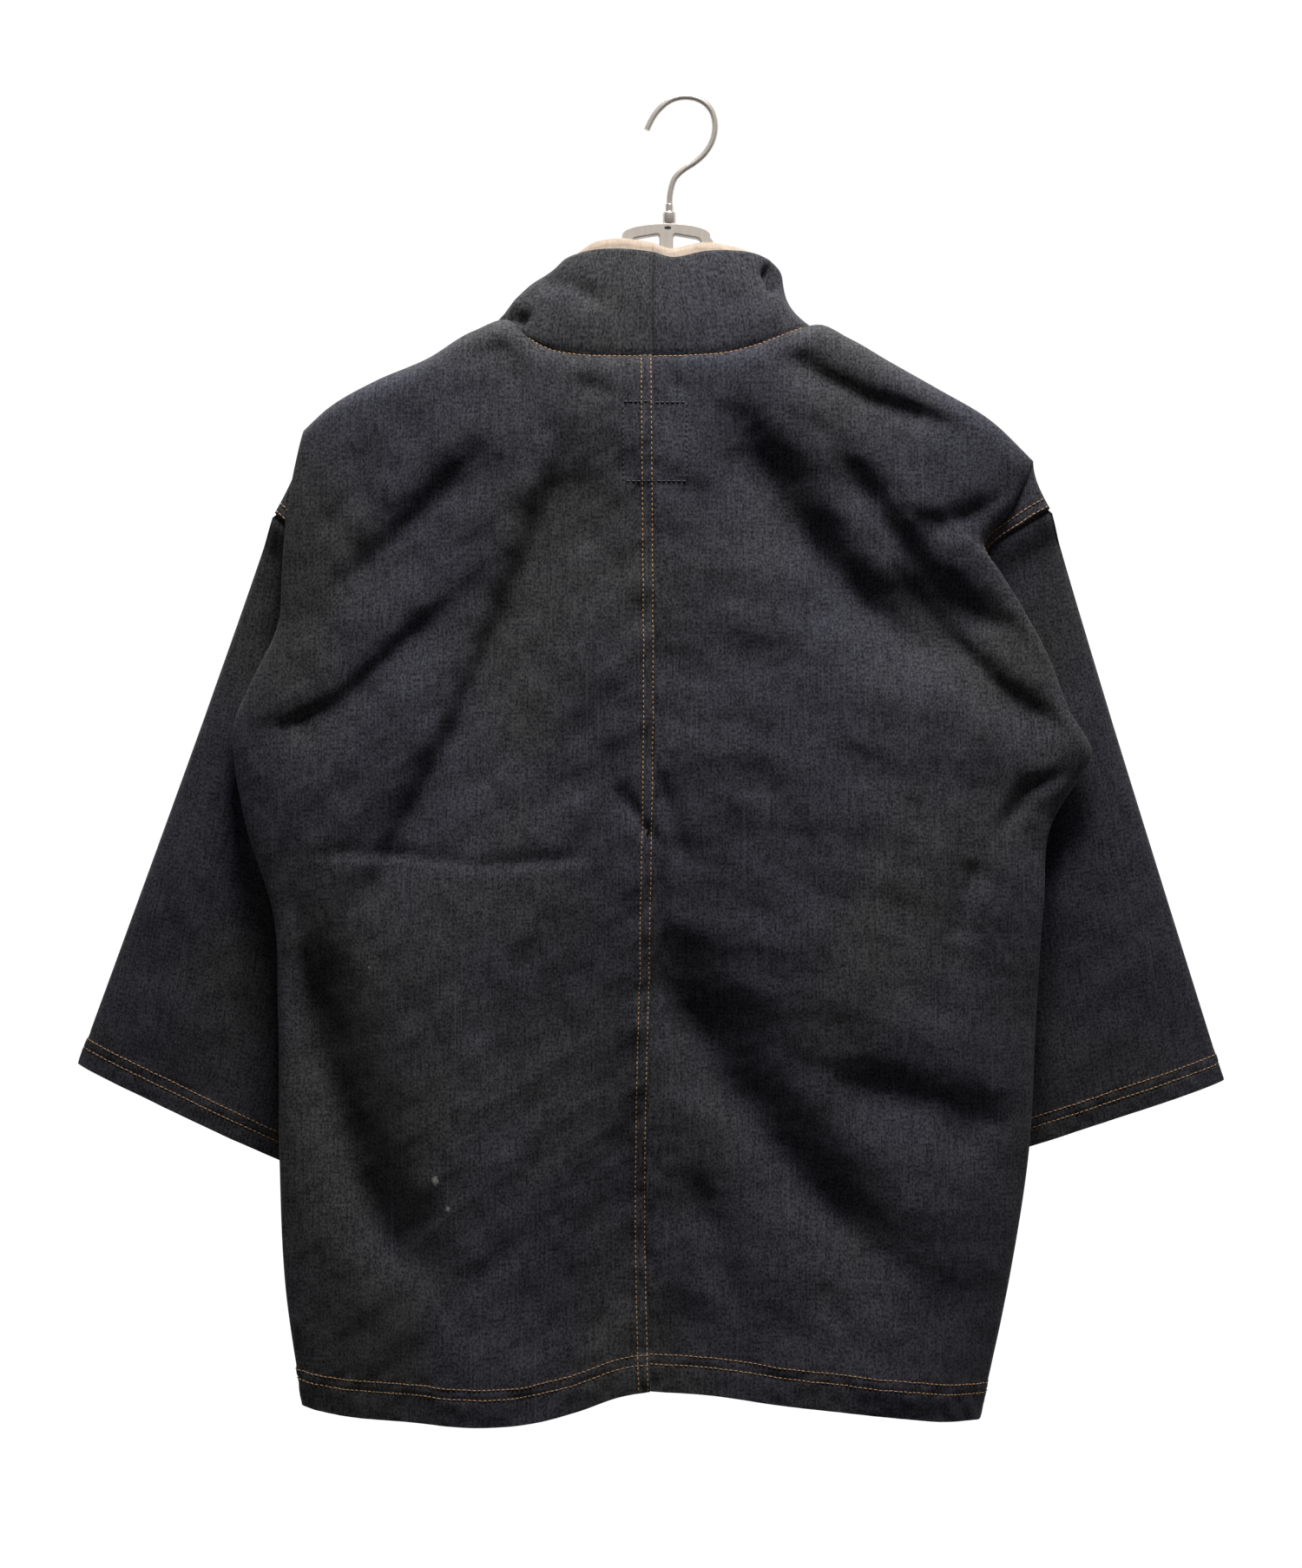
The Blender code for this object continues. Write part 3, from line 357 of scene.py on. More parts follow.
# They lie on the cloth's nearest points among those whose normals lean this far to the viewer
LEANS_TO_VIEWER = -0.2
NEAREST_POINTS = 4
NEAREST_SOFTNESS = 0.05

# Hanger, hook and ferrule, with how finely their round edges are cut
PLATE_EDGE_STEPS = 3
WIRE_EDGE_STEPS = 6
HANGER_THICKNESS = 8.0
HANGER_CLEARANCE = 1.3
HANGER_ARM_HEIGHT = 24.0
HANGER_TIP_HEIGHT = 15.0
# The arm's top line between the arch and the shoulder's cloth, clear of the collar
HANGER_NECK_LEFT = ((-72, -132), (-97, -153), (-112, -154))
HANGER_NECK_RIGHT = ((50, -130), (76, -155), (91, -158))
# The stretch of each shoulder, from the middle out, that an arm lies under
ARM_REACH_LEFT = (118, 242)
ARM_REACH_RIGHT = (97, 220)
# How much lower an arm starts beside the neck, and over what run that fades
ARM_SINK = 4.0
ARM_SINK_RUN = 34.0
ARM_SAMPLES = 80
ARCH_HALF_WIDTH = 29.0
ARCH_X = -9.0
ARCH_TOP = -81.5
ARCH_SPRING = -91.0
ARCH_SQUARENESS = 0.7
ARCH_STEPS = 33
ARCH_BAND = 7.0
# The underside from arm to arm, and how far a window's corners lie below the arch's band
UNDERSIDE = ((42, -135), (23, -125.5), (0, -122), (-23, -125.5), (-42, -135))
UNDERSIDE_STEPS = 25
WINDOW_DROPS = (0, 3, 14, 20)
WINDOW_FLARE = 3.0
WINDOW_ROUND = 2.4
WINDOW_ROUND_STEPS = 6
POST_WIDTH = 9.0
HANGER_EDGE = 0.8
# The hole below the ferrule, drawn as a dark plug of painted shade whose ends stand just proud of
# both faces of the solid plate
PAINTED_HOLE_CENTRE = (-8.0, -84.6)
PAINTED_HOLE_RADII = (2.3, 1.1)
PAINTED_HOLE_STANDS = 0.05
PAINTED_HOLE_STEPS = 24
STEM_X = -7.0
WIRE_RADIUS = 2.0
HOOK_POINTS = 44
HOOK_ROUTE = ((-7, -72), (-6.2, -60), (-3.5, -51.5), (2, -46), (9, -41.5), (15.5, -36),
              (20, -29.5), (22.6, -22), (23, -15), (21, -7.5), (16.2, -1.8), (9.6, 1.3),
              (2, 2), (-5.4, 0.2), (-12.4, -4.8), (-18, -11.8), (-21.8, -19.6))
# The hook's ferrule and its threaded neck, as (height, radius)
FERRULE_TURNS = 32
FERRULE_PROFILE = ((-81.4, 0), (-81.4, 4.0), (-80.9, 4.3), (-75.0, 4.3), (-74.2, 4.2), (-73.9, 3.9),
                   (-73.8, 2.8), (-73.0, 2.4), (-72.4, 2.7), (-71.8, 2.4), (-71.2, 2.7),
                   (-70.6, 2.4), (-70.0, 2.7), (-69.4, 2.4), (-68.8, 2.6), (-68.2, 2.3), (-68.0, 0))

# The lines of one side of the jacket, with its sign along X
Side = namedtuple("Side", "name sign neck ridge hem edge seam front_seam band_seam band_edge "
                          "band_bulge cuff_top cuff_foot arm_neck arm_reach")
LEFT = Side("left", -1, NECK_LEFT, RIDGE_LEFT, HEM_LEFT, EDGE_LEFT, SEAM_LEFT, FRONT_SEAM_LEFT,
            BAND_SEAM_FRONT_LEFT, BAND_EDGE_LEFT, BAND_BULGE_LEFT, CUFF_TOP_LEFT, CUFF_FOOT_LEFT,
            HANGER_NECK_LEFT, ARM_REACH_LEFT)
RIGHT = Side("right", 1, NECK_RIGHT, RIDGE_RIGHT, HEM_RIGHT, EDGE_RIGHT, SEAM_RIGHT,
             FRONT_SEAM_RIGHT, BAND_SEAM_FRONT_RIGHT, BAND_EDGE_RIGHT, BAND_BULGE_RIGHT,
             CUFF_TOP_RIGHT, CUFF_FOOT_RIGHT, HANGER_NECK_RIGHT, ARM_REACH_RIGHT)

# Where each piece lies on the cloth's pattern, so that no two have the same stretch of it
WEAVE_OFFSETS = {"back": 0.0, "front": 2000.0, "sleeve": 4000.0, "collar": 6000.0,
                 "facing": 8000.0}

# Colours
DENIM_DARK = (0.0125, 0.0125, 0.016)
DENIM_LIGHT = (0.079, 0.078, 0.083)
REVERSE_DARK = (0.05, 0.053, 0.063)
REVERSE_LIGHT = (0.17, 0.175, 0.19)
# Painted light: a bluish tint for lit denim and a greenish one for shaded denim, laid over it in
# random broad patches
PAINTED_LIT_TINT = (0.94, 0.93, 1.1)
PAINTED_SHADE_TINT = (0.99, 1.0, 0.95)
# The facing's two tones: its own pale tan, partly darkened with painted shade for the shade it lies
# in behind the collar
FACING_DARK_WITH_SHADE = (0.4, 0.31, 0.235)
FACING_PALE_WITH_SHADE = (0.5, 0.4, 0.31)
SATIN = (0.5, 0.45, 0.4)
# Plain materials: colour, roughness and share of metal
THREAD = ((0.43, 0.25, 0.125), 0.6, 0.0)
TONAL_THREAD = ((0.05, 0.052, 0.065), 0.6, 0.0)
NICKEL = ((0.66, 0.6, 0.54), 0.26, 0.55)
# Painted shade: the near-black plug that stands for the hole below the ferrule
PAINTED_HOLE_SHADE = ((0.02, 0.018, 0.016), 0.8, 0.0)

# Denim: scales across, along and through the weave, with detail and weight, for the warp's
# streaks, mottle, the weft's streaks and speckle, and then the rarer slubs and flecks
DENIM_GRAIN = (((700.0, 40.0, 1.0), 2.0, 0.19), ((190.0, 110.0, 1.0), 3.0, 0.14),
               ((90.0, 640.0, 1.0), 2.0, 0.13), ((720.0, 520.0, 1.0), 3.0, 0.54))
DENIM_SPREAD = (0.37, 0.65)
DENIM_FLECKS = (((520.0, 9.0, 1.0), (0.66, 0.8), 0.42), ((800.0, 620.0, 1.0), (0.64, 0.76), 0.95))
# Strength and depth of the weave's relief
DENIM_BUMP = (0.35, 0.35)
# Size and spread of the random broad patches of painted lit and shaded tint
PAINTED_TINT_SCALE = (7.0, 7.0, 5.0)
PAINTED_TINT_SPREAD = (0.36, 0.64)
FACING_GRAIN = ((900.0, 120.0, 1.0), (120.0, 900.0, 1.0))
FACING_SPREAD = (0.36, 0.64)
FACING_BUMP = (0.3, 0.25)
DENIM_ROUGHNESS = 0.9
DENIM_SHEEN = 0.06
DENIM_SPECULAR = 0.15
FACING_ROUGHNESS = 0.85
FACING_SHEEN = 0.15
SHEEN_ROUGHNESS = 0.5
# The satin hanger's streaks: their scales, how they dim it, and what they add to its roughness
SATIN_ROUGHNESS = 0.36
SATIN_STREAKS = (500.0, 60.0, 500.0)
BRUSHED_DIM = 0.94
BRUSHED_SPREAD = (0.35, 0.65)
BRUSHED_ROUGH = (-0.06, 0.08)
BRUSHED_ROUGH_SPREAD = (0.3, 0.7)

# Pale marks on the back: how deep they lie and reach, how ragged they are, and for each mark
# its place, half sizes and strength
STAIN = (0.42, 0.41, 0.39)
STAIN_DEPTH = -35.0
STAIN_REACH = 30.0
STAIN_RAGGED = (900.0, 900.0, 900.0)
STAIN_RAGGEDNESS = 1.4
STAIN_EDGE = (1.1, 1.9)
STAINS = (((-157, -703), (2.4, 3.2), 0.7), ((-149, -721), (1.8, 2.0), 0.6),
          ((-202, -568), (0.9, 1.0), 0.5))

# The room, its size and how its glow grows from front to back
FLOOR = -1250.0
ROOM = 4200.0
ROOM_FLAT_SHARE = 0.55
ROOM_FIRST_ANGLE = 0.1
ROOM_BEND_STEPS = 12
ROOM_TURNS = 72
ROOM_COLOUR = (0.04, 0.04, 0.04)
ROOM_ROUGHNESS = 0.9
ROOM_RAMP = (-0.2, 0.8)
ROOM_FRONT = 0.05
ROOM_BACK = 1.0
WORLD_LIGHT = 0.02
LIGHT_TARGET = (-0.02, 0.0, -0.45)
# Lights: place, size, power
LIGHTS = (
    ("key light", (0.1, -0.55, 0.95), (0.6, 0.45), 31.5),
    ("far light", (-0.3, 2.2, 2.9), (1.5, 1.2), 120.0),
)

# The camera, with the height that it sees at the jacket
VIEW_HEIGHT = 1029.42
SENSOR_WIDTH = 36.0

rng = np.random.default_rng(STITCH_SEED)


def through(knots, values, at):
    """A smooth curve through values at knots, by cubic Hermite pieces."""
    knots = np.asarray(knots, float)
    values = np.asarray(values, float)
    at = np.clip(np.asarray(at, float), knots[0], knots[-1])
    slopes = np.gradient(values, knots, axis=0)
    piece = np.clip(np.searchsorted(knots, at, side="right") - 1, 0, len(knots) - 2)
    span = knots[piece + 1] - knots[piece]
    t = (at - knots[piece]) / span
    extra = (1,) * (values.ndim - 1)
    t = t.reshape(t.shape + extra)
    span = span.reshape(span.shape + extra)
    start, end = values[piece], values[piece + 1]
    lead_out, lead_in = slopes[piece] * span, slopes[piece + 1] * span
    return ((2 * t ** 3 - 3 * t ** 2 + 1) * start + (t ** 3 - 2 * t ** 2 + t) * lead_out
            + (3 * t ** 2 - 2 * t ** 3) * end + (t ** 3 - t ** 2) * lead_in)


def walk(points):
    """Distances along a path from its first point to each of its points."""
    steps = np.linalg.norm(np.diff(np.asarray(points, float), axis=0), axis=1)
    return np.concatenate(([0.0], np.cumsum(steps)))


def walk_shares(points):
    distances = walk(points)
    return distances / distances[-1]


def along(points, share):
    """Points of a smooth path at shares of its length."""
    return through(walk_shares(points), points, share)


def at_places(run, places, points):
    """Where a line is at some places along it, from its points and how far along each is."""
    return np.stack([np.interp(places, run, points[:, axis]) for axis in range(3)], axis=-1)


def smoothstep(value):
    value = np.clip(value, 0.0, 1.0)
    return value * value * (3.0 - 2.0 * value)


def rounded(distance, reach):
    """From 0 at an edge to 1 at reach, leaving the edge square to it, as a fold does."""
    share = np.clip(distance / reach, 0.0, 1.0)
    return np.sqrt(np.clip(1.0 - (1.0 - share) ** 2, 0.0, 1.0))


def squared_off(share, squareness):
    """From 1 in the middle to 0 at share 1, flatter on the way than a round is."""
    return np.sqrt(np.clip(1.0 - share ** squareness, 0.0, 1.0))


def down_knots(points):
    """Shares of the drop from a side line's top to its hem, point by point."""
    heights = np.asarray(points, float)[:, -1]
    return (heights - heights[0]) / (heights[-1] - heights[0])


def ridge_round(v):
    """How far a row has turned from the shoulder's ridge into its hanging face."""
    return rounded(v * PANEL_DROP, RIDGE_DROP)


def side_line(edge, line, v):
    """Points of a line at the body's side, in step with the rows of the side fold."""
    points = through(down_knots(edge), line, v)
    points[:, 1] *= ridge_round(v)
    return points


def coons(top, bottom, inner, outer, u, v):
    """A patch between four lines, from their points at each u and v."""
    u = u[None, :, None]
    v = v[:, None, None]
    ruled_down = (1 - v) * top[None] + v * bottom[None]
    ruled_across = (1 - u) * inner[:, None] + u * outer[:, None]
    corners = ((1 - u) * (1 - v) * top[0] + u * (1 - v) * top[-1]
               + (1 - u) * v * bottom[0] + u * v * bottom[-1])
    return ruled_down + ruled_across - corners


def draw_in(points):
    """Cloth nearer the viewer than the hanger's shoulders looks larger than it is."""
    scale = 1.0 + np.minimum(points[..., 1] + NEAR_SHOULDER, 0.0) / VIEW_DISTANCE
    points[..., 0] = VIEW_X + (points[..., 0] - VIEW_X) * scale
    points[..., 2] = VIEW_Z + (points[..., 2] - VIEW_Z) * scale
    return points


def top_line(side):
    """A panel's top, from the centre back round the neck and out over the shoulder."""
    return side.neck + side.ridge[1:]


def neck_share(side):
    """The neck seam's share of a panel's top line."""
    return walk(side.neck)[-1] / walk(top_line(side))[-1]


def neck_depth(share):
    """How far behind the ridge the neck seam lies, at a share of its own length."""
    return -NECK_DEPTH * squared_off(share, NECK_SQUARENESS)


def band_seam_points(side, station):
    """The collar's seam at stations that count knots: round the neck, then down the front."""
    share = np.interp(station, np.arange(NECK_KNOTS), walk_shares(side.neck))
    flat = along(top_line(side), share * neck_share(side))
    round_neck = np.stack((flat[:, 0], neck_depth(share), flat[:, 1]), axis=-1)
    neck_end = (side.neck[-1][0], 0.0, side.neck[-1][1])
    run = (neck_end,) + side.band_seam
    down_front = through(np.arange(len(run)), run, station - (NECK_KNOTS - 1))
    return np.where((station <= NECK_KNOTS - 1)[:, None], round_neck, down_front)


def crease(x, z, path, wide_right, wide_left):
    """A soft trough of depth 1 along a path, with its own width on each side."""
    path = np.asarray(path, float)
    before = walk(path)
    nearest = np.full(x.shape, np.inf)
    place, side = np.zeros(x.shape), np.zeros(x.shape)
    for start, end, passed, length in zip(path[:-1], path[1:], before, np.diff(before)):
        way = (end - start) / length
        from_start_x, from_start_z = x - start[0], z - start[1]
        run = np.clip(from_start_x * way[0] + from_start_z * way[1], 0.0, length)
        off = np.hypot(from_start_x - way[0] * run, from_start_z - way[1] * run)
        turn = way[0] * from_start_z - way[1] * from_start_x
        closer = off < nearest
        nearest = np.where(closer, off, nearest)
        side = np.where(closer, turn, side)
        place = np.where(closer, (passed + run) / before[-1], place)
    blend = smoothstep(0.5 + side / (0.5 * (wide_right + wide_left)))
    width = wide_left + (wide_right - wide_left) * blend
    fade = smoothstep(place / CREASE_FADE) * smoothstep((1.0 - place) / CREASE_FADE)
    depth = CREASE_ENDS + (1.0 - CREASE_ENDS) * fade
    return np.exp(-(nearest / width) ** CREASE_SHAPE) * depth


def creases(x, z, folds):
    return sum(depth * crease(x, z, path, wide_right, wide_left)
               for path, depth, wide_right, wide_left in folds)


def ripple(across, down, length, seed):
    """A smooth random surface between about -1 and 1, with waves of about one length."""
    draw = np.random.default_rng(seed)
    total = np.zeros(np.broadcast(across, down).shape)
    for _ in range(RIPPLE_WAVES):
        angle = draw.uniform(0.0, 2 * math.pi)
        stretch = draw.uniform(*RIPPLE_STRETCH) * length
        phase = draw.uniform(0.0, 2 * math.pi)
        total += np.sin(2 * math.pi * (across * math.cos(angle) + down * math.sin(angle)) / stretch
                        + phase)
    return total / math.sqrt(RIPPLE_WAVES)


def ripples(across, down, layers, seed):
    return sum(height * ripple(across, down * squash, length, seed + step)
               for height, length, squash, step in layers)


def panel_rows():
    """Shares of a panel's drop at its rows of points."""
    middle = np.arange(RIDGE_STEPS[-1] + ROW_STEP, PANEL_DROP - HEM_STEPS[0], ROW_STEP)
    foot = PANEL_DROP - np.array(HEM_STEPS)
    return np.concatenate((RIDGE_STEPS, middle, foot)) / PANEL_DROP


def crowded(count):
    """Shares from 0 to 1 that crowd towards 1."""
    return 1.0 - (1.0 - np.linspace(0.0, 1.0, count)) ** COLUMN_CROWDING


def normals(grid, ring=False):
    """Unit normals of a grid of points, by its rows and columns."""
    down = np.gradient(grid, axis=0)
    if ring:
        wrapped = np.concatenate((grid[:, -1:], grid, grid[:, :1]), axis=1)
        across = (wrapped[:, 2:] - wrapped[:, :-2]) / 2
    else:
        across = np.gradient(grid, axis=1)
    normal = np.cross(across, down)
    length = np.linalg.norm(normal, axis=2)[..., None]
    return normal / np.maximum(length, TINY)


def walked(grid, axis):
    """Distances along the rows or columns of a grid from its first point."""
    steps = np.linalg.norm(np.diff(grid, axis=axis), axis=2)
    start = np.zeros_like(np.take(steps, [0], axis=axis))
    return np.concatenate((start, np.cumsum(steps, axis=axis)), axis=axis)


def above_foot(grid):
    """Distances from each point of a sheet down to its foot."""
    length = walked(grid, 0)
    return length[-1][None, :] - length


def row_dip(distance, rows):
    """How far rows of stitches pull the cloth in, from 0 to 1."""
    return sum(np.exp(-((distance - row) / ROW_DIP_WIDTH) ** 2) for row in rows)


def hem_relief(grid, outward, rows, seed):
    """Presses the rows of stitching in, and puckers the cloth between them."""
    height = above_foot(grid)
    over_rows = smoothstep((rows[-1] + PUCKER_BEYOND - height) / PUCKER_BEYOND)
    band = over_rows * smoothstep((height + PUCKER_FOOT[0]) / PUCKER_FOOT[1])
    pucker = PUCKER * band * ripple(walked(grid, 1), height * PUCKER_LEAN, PUCKER_LENGTH, seed)
    turned = TURN_RISE * smoothstep((rows[-1] + TURN_EDGE - height) / TURN_STEP)
    lift = pucker + turned - HEM_PRESS * row_dip(height, rows)
    return grid + outward * lift[..., None]


def fell_relief(grid, outward, seed):
    """The lapped centre seam: a flat raised strip with two pressed rows."""
    run = walked(grid, 1)
    down = walked(grid, 0)
    strip = smoothstep((FELL_EDGE + FELL_STEP / 2 - run) / FELL_STEP)
    near = smoothstep((FELL_EDGE + FELL_BEYOND - run) / FELL_BEYOND)
    pucker = FELL_PUCKER * near * ripple(run * FELL_LEAN, down, FELL_PUCKER_LENGTH, seed)
    lift = FELL_RISE * strip + pucker - FELL_PRESS * row_dip(run, FELL_ROWS)
    start = smoothstep(down / FELL_START)
    return grid + outward * (lift * start)[..., None]


def panel_relief(grid, outward, edge, seed):
    """Presses a panel's stitches in along its hem and beside its armhole."""
    grid = hem_relief(grid, outward, HEM_ROWS, seed + HEM_SEED)
    run = walked(grid, 1)
    from_edge = run[:, -1][:, None] - run
    in_armhole = panel_rows() <= down_knots(edge)[UNDERARM_KNOT]
    lift = -ARMHOLE_PRESS * row_dip(from_edge, ARMHOLE_STITCH_ROWS) * in_armhole[:, None]
    return grid + outward * lift[..., None]


def side_strip(edge, seam, v):
    """The strip from the side fold round to the seam behind it."""
    edge_points = side_line(edge, edge, v)[:, None]
    seam_points = side_line(edge, seam, v)[:, None]
    turn = (np.arange(1, RETURN_COLUMNS + 1) / RETURN_COLUMNS)[None, :, None]
    across = 1.0 - np.cos(turn * math.pi / 2)
    return edge_points + (seam_points - edge_points) * np.concatenate((across, turn, turn), axis=2)


def back_surface(side):
    """Half the back, from the centre seam to the side fold and on to the seam behind it."""
    v = panel_rows()
    top_length = walk(top_line(side))[-1]
    u = np.unique(np.concatenate((crowded(BACK_COLUMNS), np.array(FELL_STEPS) / top_length)))
    top = along(top_line(side), u)
    bottom = along(side.hem, u)
    edge_points = through(down_knots(side.edge), side.edge, v)
    inner = through(down_knots(CENTRE_BACK), CENTRE_BACK, v)
    flat = coons(top, bottom, inner, edge_points[:, [0, 2]], u, v)
    x, z = flat[..., 0], flat[..., 1]

    u_grid = u[None, :]
    v_grid = v[:, None]
    y_top = neck_depth(u_grid / neck_share(side))
    reach = squared_off(u_grid, SIDE_SQUARENESS)
    base = np.interp(v_grid, (0.0, WAIST, 1.0), BACK_DEPTHS)
    swell = smoothstep((v_grid - HEM_LOBE_START) / (1.0 - HEM_LOBE_START))
    lobes = sum(HEM_LOBE_DEPTH * share * np.exp(-((x - place) / width) ** 2)
                for place, width, share in HEM_LOBES)
    y_full = edge_points[:, 1][:, None] - reach * (base + swell * lobes)
    fading = np.sqrt(reach) * rounded(v_grid * PANEL_DROP, FOLD_START)
    seed = BACK_SEED + side.sign
    folds = creases(x, z, BACK_FOLDS) * fading * smoothstep((1.0 - u_grid) / SIDE_FADE)
    folds += ripples(x, z, BACK_RIPPLES, seed) * fading
    y = y_top + (y_full + folds - y_top) * ridge_round(v_grid)
    main = draw_in(np.stack((x, y, z), axis=-1))
    grid = np.concatenate((main, side_strip(side.edge, side.seam, v)), axis=1)
    outward = -side.sign * normals(grid)
    if side.sign < 0:
        grid = fell_relief(grid, outward, seed + FELL_SEED)
    else:
        lapped = LAP_DEPTH * smoothstep(1.0 - walked(grid, 1) / LAP_REACH)
        grid = grid - outward * lapped[..., None]
    return panel_relief(grid, outward, side.edge, seed)


def front_surface(side):
    """Half the front, from the collar band's seam to the side seam and the armhole."""
    v = panel_rows()
    start = neck_share(side)
    shoulder = along(top_line(side), start + (1.0 - start) * crowded(FRONT_COLUMNS))
    top = np.concatenate((shoulder, side_strip(side.edge, side.seam, v)[0][:, [0, 2]]))
    u = walk_shares(top)
    side_points = side_line(side.edge, side.front_seam, v)
    last = NECK_KNOTS - 1 + len(side.band_seam)
    run = band_seam_points(side, np.linspace(NECK_KNOTS - 1, last, SEAM_SAMPLES))
    drop = run[0, 2] + (run[-1, 2] - run[0, 2]) * v
    inner = at_places(-run[:, 2], -drop, run)
    top[0, 0] = inner[0, 0]
    foot_in, foot_out = inner[-1, [0, 2]], side_points[-1, [0, 2]]
    bottom = foot_in + (foot_out - foot_in) * u[:, None]
    flat = coons(top, bottom, inner[:, [0, 2]], side_points[:, [0, 2]], u, v)
    x, z = flat[..., 0], flat[..., 1]

    u_grid = u[None, :]
    v_grid = v[:, None]
    reach = squared_off(u_grid, FRONT_SQUARENESS)
    inner_y = inner[:, 1][:, None]
    outer_y = side_points[:, 1][:, None]
    face_y = np.interp(v_grid, (0.0, CHEST, 1.0), FRONT_DEPTHS)
    face_y = inner_y + (face_y - inner_y) * smoothstep(u_grid / BAND_EASE)
    slack = FRONT_SLACK * np.sin(math.pi * u_grid) ** 2
    y_full = outer_y + (face_y - outer_y) * reach + slack
    seed = FRONT_SEED + side.sign
    fading = np.sqrt(reach) * rounded(v_grid * PANEL_DROP, FOLD_START)
    folds = creases(x, z, FRONT_FOLDS) + ripples(x, z, FRONT_RIPPLES, seed)
    lift = np.where(u_grid >= 1.0, 1.0, ridge_round(v_grid))
    y = (y_full - folds * fading * np.sin(math.pi * u_grid)) * lift
    grid = np.stack((x, y, z), axis=-1)
    return panel_relief(grid, side.sign * normals(grid), side.edge, seed)


def sleeve_surface(side):
    """A sleeve: a flattened tube from just inside the armhole's seam to the open cuff."""
    even = np.linspace(0.0, 1.0, SLEEVE_SIDES)
    share = 0.5 - 0.5 * np.cos(math.pi * even)
    down = share * down_knots(side.edge)[UNDERARM_KNOT]
    back_line = side_line(side.edge, side.seam, down)
    front_line = side_line(side.edge, side.front_seam, down)
    back_line[:, 1] += TUCKED_UNDER
    front_line[:, 1] -= TUCKED_UNDER * smoothstep((1 - share) / FRONT_LAYER_EASE)
    armhole = np.concatenate((back_line, front_line[-2:0:-1]))
    armhole[:, 0] -= side.sign * SLEEVE_TUCK
    ring_share = np.concatenate((share, share[-2:0:-1]))
    face = np.concatenate((np.full(len(share), -1.0), np.full(len(share) - 2, 1.0)))
    face *= np.sqrt(np.clip(4.0 * ring_share * (1.0 - ring_share), 0.0, 1.0))

    cuff_top, cuff_foot = np.array(side.cuff_top, float), np.array(side.cuff_foot, float)
    line = cuff_top + (cuff_foot - cuff_top) * ring_share[:, None]
    cuff = np.stack((line[:, 0], CUFF_CENTRE_Y + CUFF_HALF_DEPTH * face, line[:, 1]), axis=-1)

    length = np.hypot(cuff_top[0] - side.seam[0][0], cuff_top[1] - side.seam[0][2])
    t = np.unique(np.concatenate((np.linspace(0.0, 1.0, SLEEVE_RINGS), ARMHOLE_RINGS,
                                  1.0 - np.array(HEM_STEPS) / length)))[:, None]
    tube = armhole[None] * (1 - t[..., None]) + cuff[None] * t[..., None]
    fall = t ** SLEEVE_FALL * smoothstep(t / SLEEVE_EASE)
    tube[..., 1] = armhole[None, :, 1] + (cuff[None, :, 1] - armhole[None, :, 1]) * fall
    tube[..., 0] += side.sign * SLEEVE_OUT * smoothstep(t / SLEEVE_OUT_BY)
    drag = creases(np.broadcast_to(t, tube.shape[:2]),
                   np.broadcast_to(ring_share[None], tube.shape[:2]), SLEEVE_FOLDS)
    seed = SLEEVE_SEED + side.sign
    drag += ripples(tube[..., 0], tube[..., 2], SLEEVE_RIPPLES, seed)
    bow = np.sin(math.pi * t)
    swell = SLEEVE_SWELL * bow ** SLEEVE_SWELL_SHAPE
    tube[..., 1] += (swell - drag * smoothstep(t / SLEEVE_EASE)) * face[None]
    starts, ends = UNDERFOLD_RETURNS
    leaving = smoothstep(t / UNDERFOLD_LEFT_BY) * smoothstep((ends - t) / (ends - starts))
    leaving *= UNDERFOLD_LEAVES
    tube[..., 0] += side.sign * (leaving - UNDERFOLD_BOW * bow) * ring_share[None] ** 2
    outward = side.sign * normals(tube, ring=True)
    return hem_relief(tube, outward, CUFF_ROWS, seed + HEM_SEED)


def band_surface(side, station, h, tuck):
    """Points of the band at stations along it and shares h of its width, one row of h each."""
    knots = np.arange(len(side.band_edge))
    seam = draw_in(band_seam_points(side, station))
    edge = draw_in(through(knots, side.band_edge, station))
    bulge = through(knots, side.band_bulge, station)
    way = edge - seam
    seam = seam - way / np.linalg.norm(way, axis=1)[:, None] * tuck
    h = h[..., None]
    arch = np.sin(math.pi * np.clip(h, 0.0, 1.0) ** BAND_ARCH_LEAN)
    return seam[:, None] + (edge - seam)[:, None] * h + bulge[:, None] * arch


def collar_dents(grid, sign):
    """How far the standing collar is dented and rippled at its points."""
    back_part = smoothstep((DENTS_END - grid[..., 1]) / DENTS_FADE)
    run = grid[..., 0] + grid[..., 1]
    dents = creases(grid[..., 0], grid[..., 2], COLLAR_FOLDS) * back_part
    height, length = COLLAR_RIPPLE
    return dents + height * ripple(run, grid[..., 2], length, COLLAR_SEED + sign)


